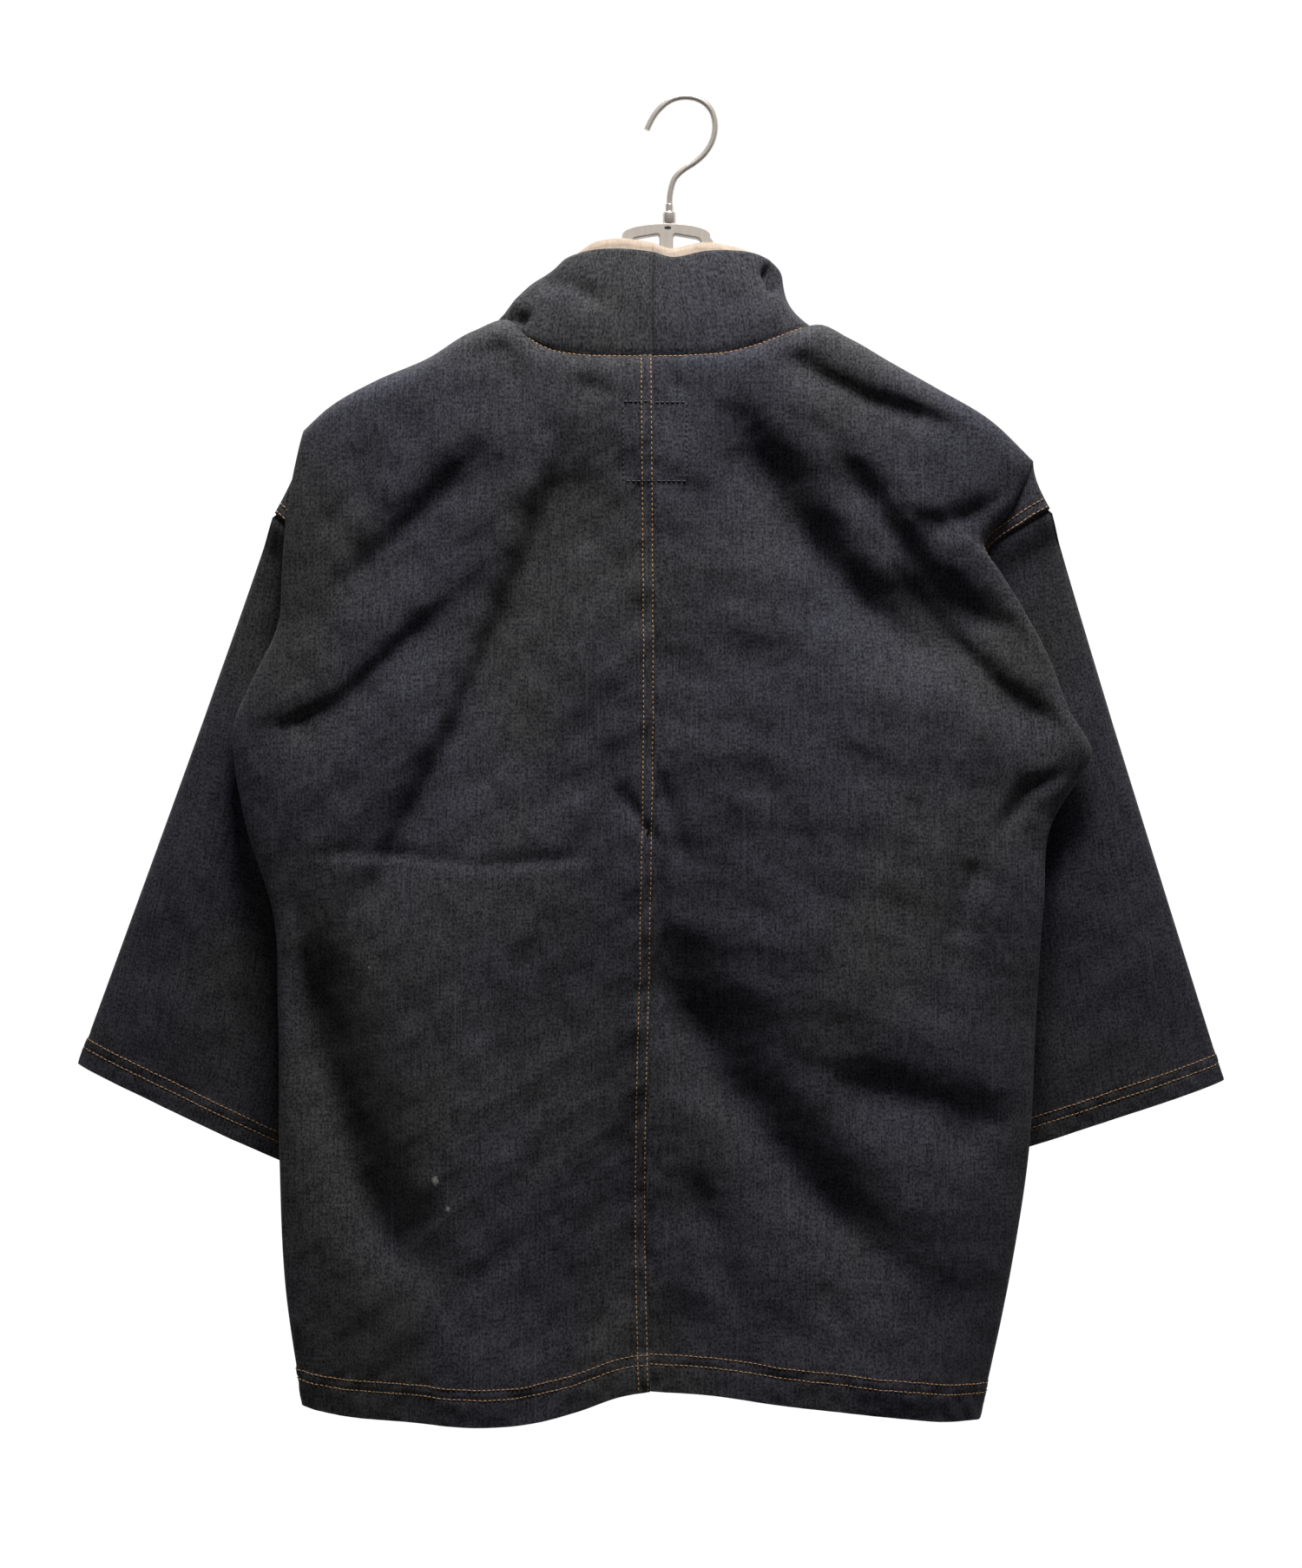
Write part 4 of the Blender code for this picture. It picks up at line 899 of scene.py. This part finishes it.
def collar_surface(side):
    """Half the standing collar, from the centre back to the front hem."""
    last = len(side.band_edge) - 1
    station = np.unique(np.concatenate((np.linspace(0.0, NECK_KNOTS, NECK_STATIONS),
                                        np.linspace(NECK_KNOTS, last, FRONT_STATIONS))))
    share = np.linspace(0.0, 1.0, BAND_ROWS + 1)
    h = np.broadcast_to(share, (len(station), BAND_ROWS + 1))
    by_ridge = np.exp(-((station - RIDGE_TUCK_KNOT) / RIDGE_TUCK_REACH) ** 2)
    grid = band_surface(side, station, h, (COLLAR_TUCK + RIDGE_TUCK * by_ridge)[:, None])
    outward = -side.sign * normals(grid)
    inside = smoothstep(1.0 - share / COLLAR_FOOT_EASE)[None] * TUCKED_UNDER
    grid = grid - outward * inside[..., None]
    dents = collar_dents(grid, side.sign)
    dents = dents * np.sin(math.pi * np.minimum(share, DENTS_TOP))[None]
    depth, width = CENTRE_GROOVE
    groove = depth * np.exp(-(walked(grid, 0) / width) ** 2)
    grid = grid - outward * (dents * smoothstep(share / DENTS_FOOT)[None] + groove)[..., None]
    if side.sign < 0:
        place, width, way = COLLAR_ROLL
        roll = (np.exp(-((station - place[0]) / width[0]) ** 2)[:, None]
                * np.exp(-((share - place[1]) / width[1]) ** 2)[None]
                * smoothstep(share / ROLL_FOOT)[None])
        grid = grid + roll[..., None] * np.array(way)
    return grid


def facing_surface(side):
    """The pale facing: the collar's own points round the back neck, moved inside it."""
    station = np.linspace(0.0, FACING_END_KNOT, FACING_STATIONS)
    proud = through(np.arange(len(FACING_PROUD)), FACING_PROUD, station)
    reach = 1.0 + proud / FACING_BAND_WIDTH
    foot = through(np.arange(len(FACING_FOOT)), FACING_FOOT, station)[:, None]
    h = foot + (reach[:, None] - foot) * np.linspace(0.0, 1.0, FACING_ROWS + 1)[None]
    grid = band_surface(side, station, h, -BAND_CLEAR)
    height, length = FACING_RIPPLE
    slack = height * ripple(grid[..., 0], grid[..., 2], length, FACING_SEED + side.sign)
    inside = BAND_CLOTH + FACING_GAP + slack + collar_dents(grid, side.sign)
    return grid + side.sign * normals(grid) * inside[..., None]


def hanging_weave(grid):
    """Places on the weave of a panel whose warp hangs straight down."""
    return grid[..., [0, 2]]


def sleeve_weave(grid, sign):
    """Places on the weave of a sleeve, whose warp runs from the shoulder to the cuff."""
    way = grid[-1].mean(axis=0) - grid[0].mean(axis=0)
    way = way[[0, 2]] / np.hypot(way[0], way[2])
    across = np.array((-way[1], way[0])) * sign
    flat = grid[..., [0, 2]]
    return np.stack((flat @ across, flat @ way), axis=-1)


def band_weave(grid):
    """Places on the weave of a band, whose warp runs across it."""
    along_band = walked(grid, 0).mean(axis=1)[:, None]
    across_band = walked(grid, 1).mean(axis=0)[None]
    return np.stack(np.broadcast_arrays(along_band, across_band), axis=-1)


def place_object(name, data, material=None, slot=None):
    """Links an object to the scene. One with a slot is a piece of the jacket's one body."""
    item = bpy.data.objects.new(name, data)
    if material is not None:
        data.materials.append(material)
    bpy.context.scene.collection.objects.link(item)
    if slot is not None:
        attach(item, "root")
    return item


def cloth(name, grid, weave, wall, materials, ring, flip, turned):
    """A sheet of points with its places on the weave, thickened on its inside."""
    count_down, count_across = grid.shape[:2]
    columns = count_across if ring else count_across - 1
    i, j = np.meshgrid(np.arange(count_down - 1), np.arange(columns), indexing="ij")
    k = (j + 1) % count_across
    corners = [(i, j), (i, k), (i + 1, k), (i + 1, j)]
    if flip:
        corners.reverse()
    faces = np.stack([a * count_across + b for a, b in corners], axis=-1).reshape(-1, 4)
    loops = np.stack([weave[a, b] * MM for a, b in corners], axis=2).reshape(-1, 2)

    mesh = bpy.data.meshes.new(name)
    mesh.from_pydata((grid.reshape(-1, 3) * MM).tolist(), [], faces.tolist())
    layer = mesh.uv_layers.new(name="weave")
    layer.data.foreach_set("uv", loops.astype(np.float32).ravel())
    for material in materials:
        mesh.materials.append(material)
    mesh.shade_smooth()
    item = place_object(name, mesh)
    wall_modifier = item.modifiers.new("cloth wall", "SOLIDIFY")
    wall_modifier.offset = -1.0
    wall_modifier.thickness = wall * MM
    wall_modifier.material_offset = 1
    if turned is not None:
        group = item.vertex_groups.new(name="turned under")
        group.add([int(index) for index in np.flatnonzero(turned)], 1.0, "REPLACE")
        wall_modifier.thickness = TURNED_CLOTH * MM
        wall_modifier.vertex_group = group.name
        wall_modifier.thickness_vertex_group = wall / TURNED_CLOTH
    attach(item, "root")
    return item


def row_from_foot(grid, outward, distance):
    """Points and normals of a line that keeps its distance from the sheet's foot."""
    length = walked(grid, 0)
    return lines_at(grid, outward, length[-1] - distance, length)


def row_from_top(grid, outward, distance):
    return lines_at(grid, outward, np.full(grid.shape[1], distance), walked(grid, 0))


def row_down_side(grid, outward, distance, from_edge, last=None):
    """Points and normals of a line that keeps its distance from the sheet's side."""
    turned, turned_out = grid.swapaxes(0, 1), outward.swapaxes(0, 1)
    length = walked(turned, 0)
    wanted = length[-1] - distance if from_edge else np.full(turned.shape[1], distance)
    points, ways = lines_at(turned, turned_out, wanted, length)
    return points[FIRST_STITCHED_ROW:last], ways[FIRST_STITCHED_ROW:last]


def lines_at(grid, outward, wanted, length):
    """Points and normals where each column of a grid has run as far as is wanted."""
    points = [at_places(length[:, column], target, grid[:, column])
              for column, target in enumerate(wanted)]
    ways = [at_places(length[:, column], target, outward[:, column])
            for column, target in enumerate(wanted)]
    return np.array(points), np.array(ways)


def turned_faces(levels, turns):
    """Faces between the rings of a turned form."""
    faces = []
    for level in range(levels - 1):
        for step in range(turns):
            a = level * turns + step
            b = level * turns + (step + 1) % turns
            faces.append((a, b, b + turns, a + turns))
    return faces


def turned_mesh(name, profile, turns, centre_x=0.0):
    """A turned form about an upright axis, from (height, radius) pairs."""
    points = []
    for height, radius in profile:
        for step in range(turns):
            angle = 2 * math.pi * step / turns
            points.append(((centre_x + radius * math.cos(angle)) * MM,
                           radius * math.sin(angle) * MM, height * MM))
    mesh = bpy.data.meshes.new(name)
    mesh.from_pydata(points, [], turned_faces(len(profile), turns))
    mesh.shade_smooth()
    return mesh


class Stitching:
    """Gathers rows of stitches into one mesh."""

    def __init__(self):
        self.points = []
        self.faces = []
        self.count = 0

    def row(self, points, ways, closed=False):
        """Lays stitches end to end along a line of points that lie on the cloth."""
        if closed:
            points = np.concatenate((points, points[:1]))
            ways = np.concatenate((ways, ways[:1]))
        run = walk(points)
        centres = np.arange(STITCH_PITCH / 2, run[-1] - STITCH_PITCH / 2, STITCH_PITCH)
        middle = at_places(run, centres, points)
        along_row = (at_places(run, centres + STITCH_LENGTH / 2, points)
                     - at_places(run, centres - STITCH_LENGTH / 2, points))
        along_row /= np.maximum(np.linalg.norm(along_row, axis=1), TINY)[:, None]
        out = at_places(run, centres, ways)
        out /= np.linalg.norm(out, axis=1)[:, None]
        across = np.cross(along_row, out)
        slant = rng.normal(0.0, STITCH_SLANT, len(centres))[:, None]
        rings = []
        for place, size, height in STITCH_RINGS:
            centre = middle + (along_row + across * slant) * place * STITCH_LENGTH + out * height
            for angle in np.arange(STITCH_SIDES) * 2 * math.pi / STITCH_SIDES:
                rings.append(centre + (across * math.cos(angle) + out * math.sin(angle))
                             * STITCH_RADIUS * size)
        block = np.stack(rings, axis=1)
        starts = self.count + np.arange(len(block)) * block.shape[1]
        pattern = np.array(turned_faces(len(STITCH_RINGS), STITCH_SIDES))
        self.faces += (starts[:, None, None] + pattern[None]).reshape(-1, 4).tolist()
        self.points.append(block.reshape(-1, 3))
        self.count += len(block) * block.shape[1]

    def make(self, name, material):
        mesh = bpy.data.meshes.new(name)
        mesh.from_pydata((np.concatenate(self.points) * MM).tolist(), [], self.faces)
        mesh.shade_smooth()
        place_object(name, mesh, material, "denim")


class Shader:
    """A material and its nodes, with short ways to add nodes and join them."""

    def __init__(self, name, roughness, metallic=0.0, sheen=0.0):
        self.material = bpy.data.materials.new(name)
        self.material.use_nodes = True
        self.nodes = self.material.node_tree.nodes
        self.inputs = self.nodes["Principled BSDF"].inputs
        self.feed(self.inputs["Roughness"], roughness)
        self.feed(self.inputs["Metallic"], metallic)
        self.feed(self.inputs["Sheen Weight"], sheen)
        self.feed(self.inputs["Sheen Roughness"], SHEEN_ROUGHNESS)

    def add(self, kind, **settings):
        node = self.nodes.new("ShaderNode" + kind)
        for setting, value in settings.items():
            setattr(node, setting, value)
        return node

    def feed(self, socket, value):
        """Sets a socket to a number or a tuple, or joins another node's output to it."""
        if isinstance(value, (float, tuple)):
            socket.default_value = value
        else:
            self.material.node_tree.links.new(value, socket)

    def weave(self):
        return self.add("UVMap", uv_map="weave").outputs["UV"]

    def place(self):
        return self.add("TexCoord").outputs["Object"]

    def scaled(self, vector, scale):
        mapping = self.add("Mapping")
        self.feed(mapping.inputs["Scale"], scale)
        self.feed(mapping.inputs["Vector"], vector)
        return mapping.outputs["Vector"]

    def noise(self, vector, scale, detail=2.0):
        texture = self.add("TexNoise")
        self.feed(texture.inputs["Scale"], 1.0)
        self.feed(texture.inputs["Detail"], detail)
        self.feed(texture.inputs["Vector"], self.scaled(vector, scale))
        return texture.outputs["Fac"]

    def maths(self, operation, first, second):
        node = self.add("Math", operation=operation)
        self.feed(node.inputs[0], first)
        self.feed(node.inputs[1], second)
        return node.outputs[0]

    def added(self, total, value, weight):
        """The total with a weighted value on top, or the weighted value where total is None."""
        weighted = self.maths("MULTIPLY", value, weight)
        return weighted if total is None else self.maths("ADD", total, weighted)

    def spread(self, value, limits, results=(0.0, 1.0)):
        """Eases a value from its limits to the results."""
        node = self.add("MapRange", interpolation_type="SMOOTHSTEP")
        names = ("From Min", "From Max", "To Min", "To Max")
        for name, number in zip(names, limits + results):
            self.feed(node.inputs[name], number)
        self.feed(node.inputs["Value"], value)
        return node.outputs["Result"]

    def mixed(self, share, first, second, blend="MIX"):
        node = self.add("Mix", data_type="RGBA", blend_type=blend)
        self.feed(node.inputs[0], share)
        for socket, colour in ((node.inputs[6], first), (node.inputs[7], second)):
            self.feed(socket, (*colour, 1.0) if isinstance(colour, tuple) else colour)
        return node.outputs[2]

    def bump(self, height, strength, distance):
        node = self.add("Bump")
        self.feed(node.inputs["Strength"], strength)
        self.feed(node.inputs["Distance"], distance * MM)
        self.feed(node.inputs["Height"], height)
        self.feed(self.inputs["Normal"], node.outputs["Normal"])


def denim_material(name, dark, light, stains=()):
    """Twill of dark warp and paler weft, streaked down the warp, with broad random shifts between a
    bluish and a greenish cast that are painted light, standing for lit and shaded cloth.
    """
    shader = Shader(name, DENIM_ROUGHNESS, sheen=DENIM_SHEEN)
    shader.feed(shader.inputs["Specular IOR Level"], DENIM_SPECULAR)
    uv, place = shader.weave(), shader.place()
    grain = None
    for scale, detail, weight in DENIM_GRAIN:
        grain = shader.added(grain, shader.noise(uv, scale, detail), weight)
    tone = shader.spread(grain, DENIM_SPREAD)
    for scale, limits, weight in DENIM_FLECKS:
        tone = shader.added(tone, shader.spread(shader.noise(uv, scale, 1.0), limits), weight)
    # Painted light: random broad patches between the bluish lit tint and the greenish shaded tint
    cloud = shader.spread(shader.noise(place, PAINTED_TINT_SCALE, 3.0), PAINTED_TINT_SPREAD)
    tint = shader.mixed(cloud, PAINTED_LIT_TINT, PAINTED_SHADE_TINT)
    colour = shader.mixed(1.0, shader.mixed(tone, dark, light), tint, "MULTIPLY")
    for (x, z), (wide, tall), strength in stains:
        moved = shader.add("VectorMath", operation="SUBTRACT")
        shader.feed(moved.inputs[0], place)
        shader.feed(moved.inputs[1], (x * MM, STAIN_DEPTH * MM, z * MM))
        length = shader.add("VectorMath", operation="LENGTH")
        half_sizes = (wide, STAIN_REACH, tall)
        shader.feed(length.inputs[0], shader.scaled(moved.outputs["Vector"],
                                                    tuple(1 / (size * MM) for size in half_sizes)))
        ragged = shader.noise(place, STAIN_RAGGED)
        reach = shader.added(length.outputs["Value"], ragged, STAIN_RAGGEDNESS)
        share = shader.spread(reach, STAIN_EDGE, (strength, 0.0))
        colour = shader.mixed(share, colour, STAIN)
    shader.feed(shader.inputs["Base Color"], colour)
    shader.bump(grain, *DENIM_BUMP)
    return shader.material


def facing_material():
    """Plain woven facing in a tan, its own paler colour darkened with painted shade."""
    shader = Shader("facing cloth with painted shade", FACING_ROUGHNESS, sheen=FACING_SHEEN)
    uv = shader.weave()
    grain = None
    for scale in FACING_GRAIN:
        grain = shader.added(grain, shader.noise(uv, scale), 1 / len(FACING_GRAIN))
    tone = shader.spread(grain, FACING_SPREAD)
    # Both tones carry painted shade as well as the facing's own tan
    shader.feed(shader.inputs["Base Color"], shader.mixed(tone, FACING_DARK_WITH_SHADE, FACING_PALE_WITH_SHADE))
    shader.bump(grain, *FACING_BUMP)
    return shader.material


def plain_material(name, colour, roughness, metallic):
    shader = Shader(name, roughness, metallic)
    shader.feed(shader.inputs["Base Color"], (*colour, 1.0))
    return shader.material


def brushed_material(name, colour, roughness, streaks):
    """A satin surface with fine brushed streaks."""
    shader = Shader(name, roughness)
    fine = shader.noise(shader.place(), streaks, 3.0)
    dim = tuple(channel * BRUSHED_DIM for channel in colour)
    tone = shader.spread(fine, BRUSHED_SPREAD)
    shader.feed(shader.inputs["Base Color"], shader.mixed(tone, dim, colour))
    results = tuple(roughness + more for more in BRUSHED_ROUGH)
    rough = shader.spread(fine, BRUSHED_ROUGH_SPREAD, results)
    shader.feed(shader.inputs["Roughness"], rough)
    return shader.material


def arm_lines(side):
    """The top and bottom lines of an arm that lies under the shoulder's cloth."""
    top = along(top_line(side), np.linspace(0.0, 1.0, ARM_SAMPLES))
    start, end = side.arm_reach
    top = top[(np.abs(top[:, 0]) > start) & (np.abs(top[:, 0]) < end)]
    beside_neck = np.clip(1.0 - (np.abs(top[:, 0]) - start) / ARM_SINK_RUN, 0.0, 1.0)
    top[:, 1] -= CLOTH + HANGER_CLEARANCE + ARM_SINK * beside_neck
    top = np.concatenate((side.arm_neck, top))
    bottom = top[1:].copy()
    bottom[:, 1] -= np.linspace(HANGER_ARM_HEIGHT, HANGER_TIP_HEIGHT, len(bottom))
    return top, bottom


def arch_line():
    rise = ARCH_TOP - ARCH_SPRING
    return [(ARCH_X + ARCH_HALF_WIDTH * math.cos(angle),
             ARCH_SPRING + rise * math.sin(angle) ** ARCH_SQUARENESS)
            for angle in np.linspace(math.pi, 0.0, ARCH_STEPS)]


def window_line(side):
    """The window on one side of the post, with rounded corners."""
    near = ARCH_X + side * POST_WIDTH / 2
    far = ARCH_X + side * (ARCH_HALF_WIDTH - ARCH_BAND)
    across = (near, far, far + side * WINDOW_FLARE, near)
    corners = np.array([(x, ARCH_TOP - ARCH_BAND - drop) for x, drop in zip(across, WINDOW_DROPS)])
    line = []
    for corner, here in enumerate(corners):
        before, after = corners[corner - 1], corners[(corner + 1) % len(corners)]
        start = here + (before - here) / np.linalg.norm(before - here) * WINDOW_ROUND
        end = here + (after - here) / np.linalg.norm(after - here) * WINDOW_ROUND
        for t in np.linspace(0.0, 1.0, WINDOW_ROUND_STEPS):
            line.append((1 - t) ** 2 * start + 2 * t * (1 - t) * here + t ** 2 * end)
    return line


def make_hanger(material, hole_shade_material):
    top_left, bottom_left = arm_lines(LEFT)
    top_right, bottom_right = arm_lines(RIGHT)
    underside = along(UNDERSIDE, np.linspace(0.0, 1.0, UNDERSIDE_STEPS))
    underside[:, 0] += ARCH_X
    outer = np.concatenate((top_left[::-1], arch_line(), top_right, bottom_right[::-1], underside,
                            bottom_left))
    curve = bpy.data.curves.new("hanger_plate", "CURVE")
    curve.dimensions = "2D"
    curve.fill_mode = "BOTH"
    curve.extrude = (HANGER_THICKNESS / 2 - HANGER_EDGE) * MM
    curve.bevel_depth = HANGER_EDGE * MM
    curve.offset = -HANGER_EDGE * MM
    curve.bevel_resolution = PLATE_EDGE_STEPS
    for loop in (outer, window_line(-1), window_line(1)):
        spline = curve.splines.new("POLY")
        spline.points.add(len(loop) - 1)
        for point, (x, z) in zip(spline.points, loop):
            point.co = (x * MM, z * MM, 0.0, 1.0)
        spline.use_cyclic_u = True
    plate = place_object("hanger_plate", curve, material)
    plate.rotation_euler = (math.pi / 2, 0.0, 0.0)
    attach(plate, "root")
    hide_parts("hanger")

    # A dark plug of painted shade where the hole below the ferrule is; the plate itself stays solid
    # there
    points = []
    for y in (-HANGER_THICKNESS / 2 - PAINTED_HOLE_STANDS, HANGER_THICKNESS / 2 + PAINTED_HOLE_STANDS):
        for step in range(PAINTED_HOLE_STEPS):
            turn = 2 * math.pi * step / PAINTED_HOLE_STEPS
            points.append(((PAINTED_HOLE_CENTRE[0] + PAINTED_HOLE_RADII[0] * math.cos(turn)) * MM, y * MM,
                           (PAINTED_HOLE_CENTRE[1] + PAINTED_HOLE_RADII[1] * math.sin(turn)) * MM))
    ends = [tuple(range(PAINTED_HOLE_STEPS)), tuple(range(2 * PAINTED_HOLE_STEPS - 1, PAINTED_HOLE_STEPS - 1, -1))]
    mesh = bpy.data.meshes.new("painted_hole_shade")
    mesh.from_pydata(points, [], ends + turned_faces(2, PAINTED_HOLE_STEPS))
    place_object("painted_hole_shade", mesh, hole_shade_material, "hanger")


def make_hook(material):
    curve = bpy.data.curves.new("hook_wire", "CURVE")
    curve.dimensions = "3D"
    curve.bevel_depth = WIRE_RADIUS * MM
    curve.bevel_resolution = WIRE_EDGE_STEPS
    curve.use_fill_caps = True
    route = along(HOOK_ROUTE, np.linspace(0.0, 1.0, HOOK_POINTS))
    spline = curve.splines.new("POLY")
    spline.points.add(len(route) - 1)
    for point, (x, z) in zip(spline.points, route):
        point.co = (x * MM, 0.0, z * MM, 1.0)
    wire = place_object("hook_wire", curve, material, "steel")
    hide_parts("hook")
    mesh = turned_mesh("ferrule_turned", FERRULE_PROFILE, FERRULE_TURNS, STEM_X)
    collar = place_object("ferrule_turned", mesh, material, "steel")
    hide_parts("ferrule")


def place_on(points, grids, outwards):
    """The cloth's points and normals that face the viewer nearest to places in the XZ plane."""
    cloud = np.concatenate([grid.reshape(-1, 3) for grid in grids])
    ways = np.concatenate([outward.reshape(-1, 3) for outward in outwards])
    facing_viewer = ways[:, 1] < LEANS_TO_VIEWER
    cloud, ways = cloud[facing_viewer], ways[facing_viewer]
    found, found_ways = [], []
    for x, z in points:
        off = np.hypot(cloud[:, 0] - x, cloud[:, 2] - z)
        near = np.argsort(off)[:NEAREST_POINTS]
        share = 1.0 / (off[near] + NEAREST_SOFTNESS)
        share /= share.sum()
        found.append((x, (cloud[near, 1] * share).sum(), z))
        found_ways.append((ways[near] * share[:, None]).sum(axis=0))
    return np.array(found), np.array(found_ways)


def make_sheet(side, part, grid, weave, materials, wall=CLOTH, hem=None):
    """One piece of cloth on its grid, in place of the solid of the same name."""
    node = "%s_%s" % (part, side.name)
    ring = part == "sleeve"
    seen_from_back = part in ("back", "collar", "facing")
    flip = side.sign > 0 if seen_from_back else side.sign < 0
    turned = None if hem is None else (above_foot(grid) < hem).ravel()
    item = cloth(node + "_cloth", grid, weave + WEAVE_OFFSETS[part], wall, materials, ring, flip,
                 turned)
    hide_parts(node)


def stitch_panel(stitches, panel, way, armhole_rows):
    """The rows along a panel's hem, then those beside its armhole."""
    for distance in HEM_ROWS:
        stitches.row(*row_from_foot(panel, way, distance))
    for distance in ARMHOLE_STITCH_ROWS:
        stitches.row(*row_down_side(panel, way, distance, True, armhole_rows))


def make_side(side, denims, collar_cloths, facings, stitching):
    """Every piece of one side of the jacket, with its stitches, and the back's own points."""
    on_back, on_front, on_sleeves = stitching
    underarm = down_knots(side.edge)[UNDERARM_KNOT]
    armhole_rows = int(np.searchsorted(panel_rows(), underarm))

    back = back_surface(side)
    make_sheet(side, "back", back, hanging_weave(back), denims, hem=HEM_TURN)
    back_way = -side.sign * normals(back)
    stitch_panel(on_back, back, back_way, armhole_rows)
    if side.sign < 0:
        for distance in FELL_ROWS:
            on_back.row(*row_down_side(back, back_way, distance, False))
    points, ways = row_from_top(back, back_way, NECK_ROW)
    centre, neck_end = side.neck[0][0], side.neck[-1][0]
    inside_neck = np.abs(points[:, 0] - centre) < abs(neck_end - centre) - NECK_ROW_STOPS
    on_back.row(points[inside_neck], ways[inside_neck])

    front = front_surface(side)
    make_sheet(side, "front", front, hanging_weave(front), denims, hem=HEM_TURN)
    way = side.sign * normals(front)
    stitch_panel(on_front, front, way, armhole_rows)
    on_front.row(*row_down_side(front, way, FRONT_BAND_ROW, False))

    sleeve = sleeve_surface(side)
    make_sheet(side, "sleeve", sleeve, sleeve_weave(sleeve, side.sign), denims,
               hem=CUFF_TURN)
    way = side.sign * normals(sleeve, ring=True)
    for distance in CUFF_ROWS:
        on_sleeves.row(*row_from_foot(sleeve, way, distance), closed=True)

    collar = collar_surface(side)
    make_sheet(side, "collar", collar, band_weave(collar), collar_cloths, BAND_CLOTH)
    facing = facing_surface(side)
    make_sheet(side, "facing", facing, band_weave(facing), facings, FACING_CLOTH)
    return back, back_way


def make_garment(denim, reverse, facing, thread, tonal_thread):
    stitching = Stitching(), Stitching(), Stitching()
    backs = [make_side(side, (denim, reverse), (denim, facing), (facing, facing), stitching)
             for side in (LEFT, RIGHT)]
    names = ("stitching_back", "stitching_front", "stitching_sleeves")
    for name, stitches in zip(names, stitching):
        stitches.make(name, thread)
    tonal = Stitching()
    for start, end in zip(TONAL_CORNERS, TONAL_CORNERS[1:] + TONAL_CORNERS[:1]):
        line = np.linspace(start, end, TONAL_SAMPLES)
        tonal.row(*place_on(line, *zip(*backs)))
    tonal.make("stitching_tonal", tonal_thread)


def make_room():
    """A pale floor that curves up into a round wall, bright behind the jacket."""
    flat = ROOM * ROOM_FLAT_SHARE
    bend = ROOM - flat
    profile = [(FLOOR, 0.0), (FLOOR, flat)]
    profile += [(FLOOR + bend * (1.0 - math.cos(angle)), flat + bend * math.sin(angle))
                for angle in np.linspace(ROOM_FIRST_ANGLE, math.pi / 2, ROOM_BEND_STEPS)]
    profile.append((FLOOR + ROOM, ROOM))
    shader = Shader("pale room", ROOM_ROUGHNESS)
    shader.feed(shader.inputs["Base Color"], (*ROOM_COLOUR, 1.0))
    shader.feed(shader.inputs["Specular IOR Level"], 0.0)
    shader.feed(shader.inputs["Emission Color"], (1.0, 1.0, 1.0, 1.0))
    split = shader.add("SeparateXYZ")
    shader.feed(split.inputs[0], shader.place())
    glow = shader.spread(split.outputs["Y"], ROOM_RAMP, (ROOM_FRONT, ROOM_BACK))
    shader.feed(shader.inputs["Emission Strength"], glow)
    place_object("room", turned_mesh("room", profile, ROOM_TURNS), shader.material)


def make_light_and_camera():
    for name, place, size, power in LIGHTS:
        light = bpy.data.lights.new(name, "AREA")
        light.shape = "RECTANGLE"
        light.size, light.size_y = size
        light.energy = power
        item = place_object(name, light)
        item.location = place
        way = Vector(LIGHT_TARGET) - Vector(place)
        item.rotation_euler = way.to_track_quat("-Z", "Y").to_euler()
    scene = bpy.context.scene
    world = bpy.data.worlds.new("soft world")
    world.use_nodes = True
    background = world.node_tree.nodes["Background"].inputs
    background["Color"].default_value = (1.0, 1.0, 1.0, 1.0)
    background["Strength"].default_value = WORLD_LIGHT
    scene.world = world
    scene.view_settings.view_transform = "Standard"
    camera = bpy.data.cameras.new("photo camera")
    camera.sensor_width = SENSOR_WIDTH
    camera.lens = SENSOR_WIDTH * VIEW_DISTANCE / VIEW_HEIGHT
    item = place_object("photo camera", camera)
    item.location = (VIEW_X * MM, -VIEW_DISTANCE * MM, VIEW_Z * MM)
    item.rotation_euler = (math.pi / 2, 0.0, 0.0)
    scene.camera = item


def main():
    denim = denim_material("denim cloth", DENIM_DARK, DENIM_LIGHT, STAINS)
    reverse = denim_material("denim reverse", REVERSE_DARK, REVERSE_LIGHT)
    facing = facing_material()
    thread = plain_material("orange thread", *THREAD)
    tonal_thread = plain_material("tonal thread", *TONAL_THREAD)
    nickel = plain_material("nickel wire", *NICKEL)
    satin = brushed_material("satin hanger", SATIN, SATIN_ROUGHNESS, SATIN_STREAKS)
    # Painted shade for the hole below the ferrule
    hole = plain_material("painted hole shade", *PAINTED_HOLE_SHADE)
    make_hanger(satin, hole)
    make_hook(nickel)
    make_garment(denim, reverse, facing, thread, tonal_thread)
    make_room()
    make_light_and_camera()


main()
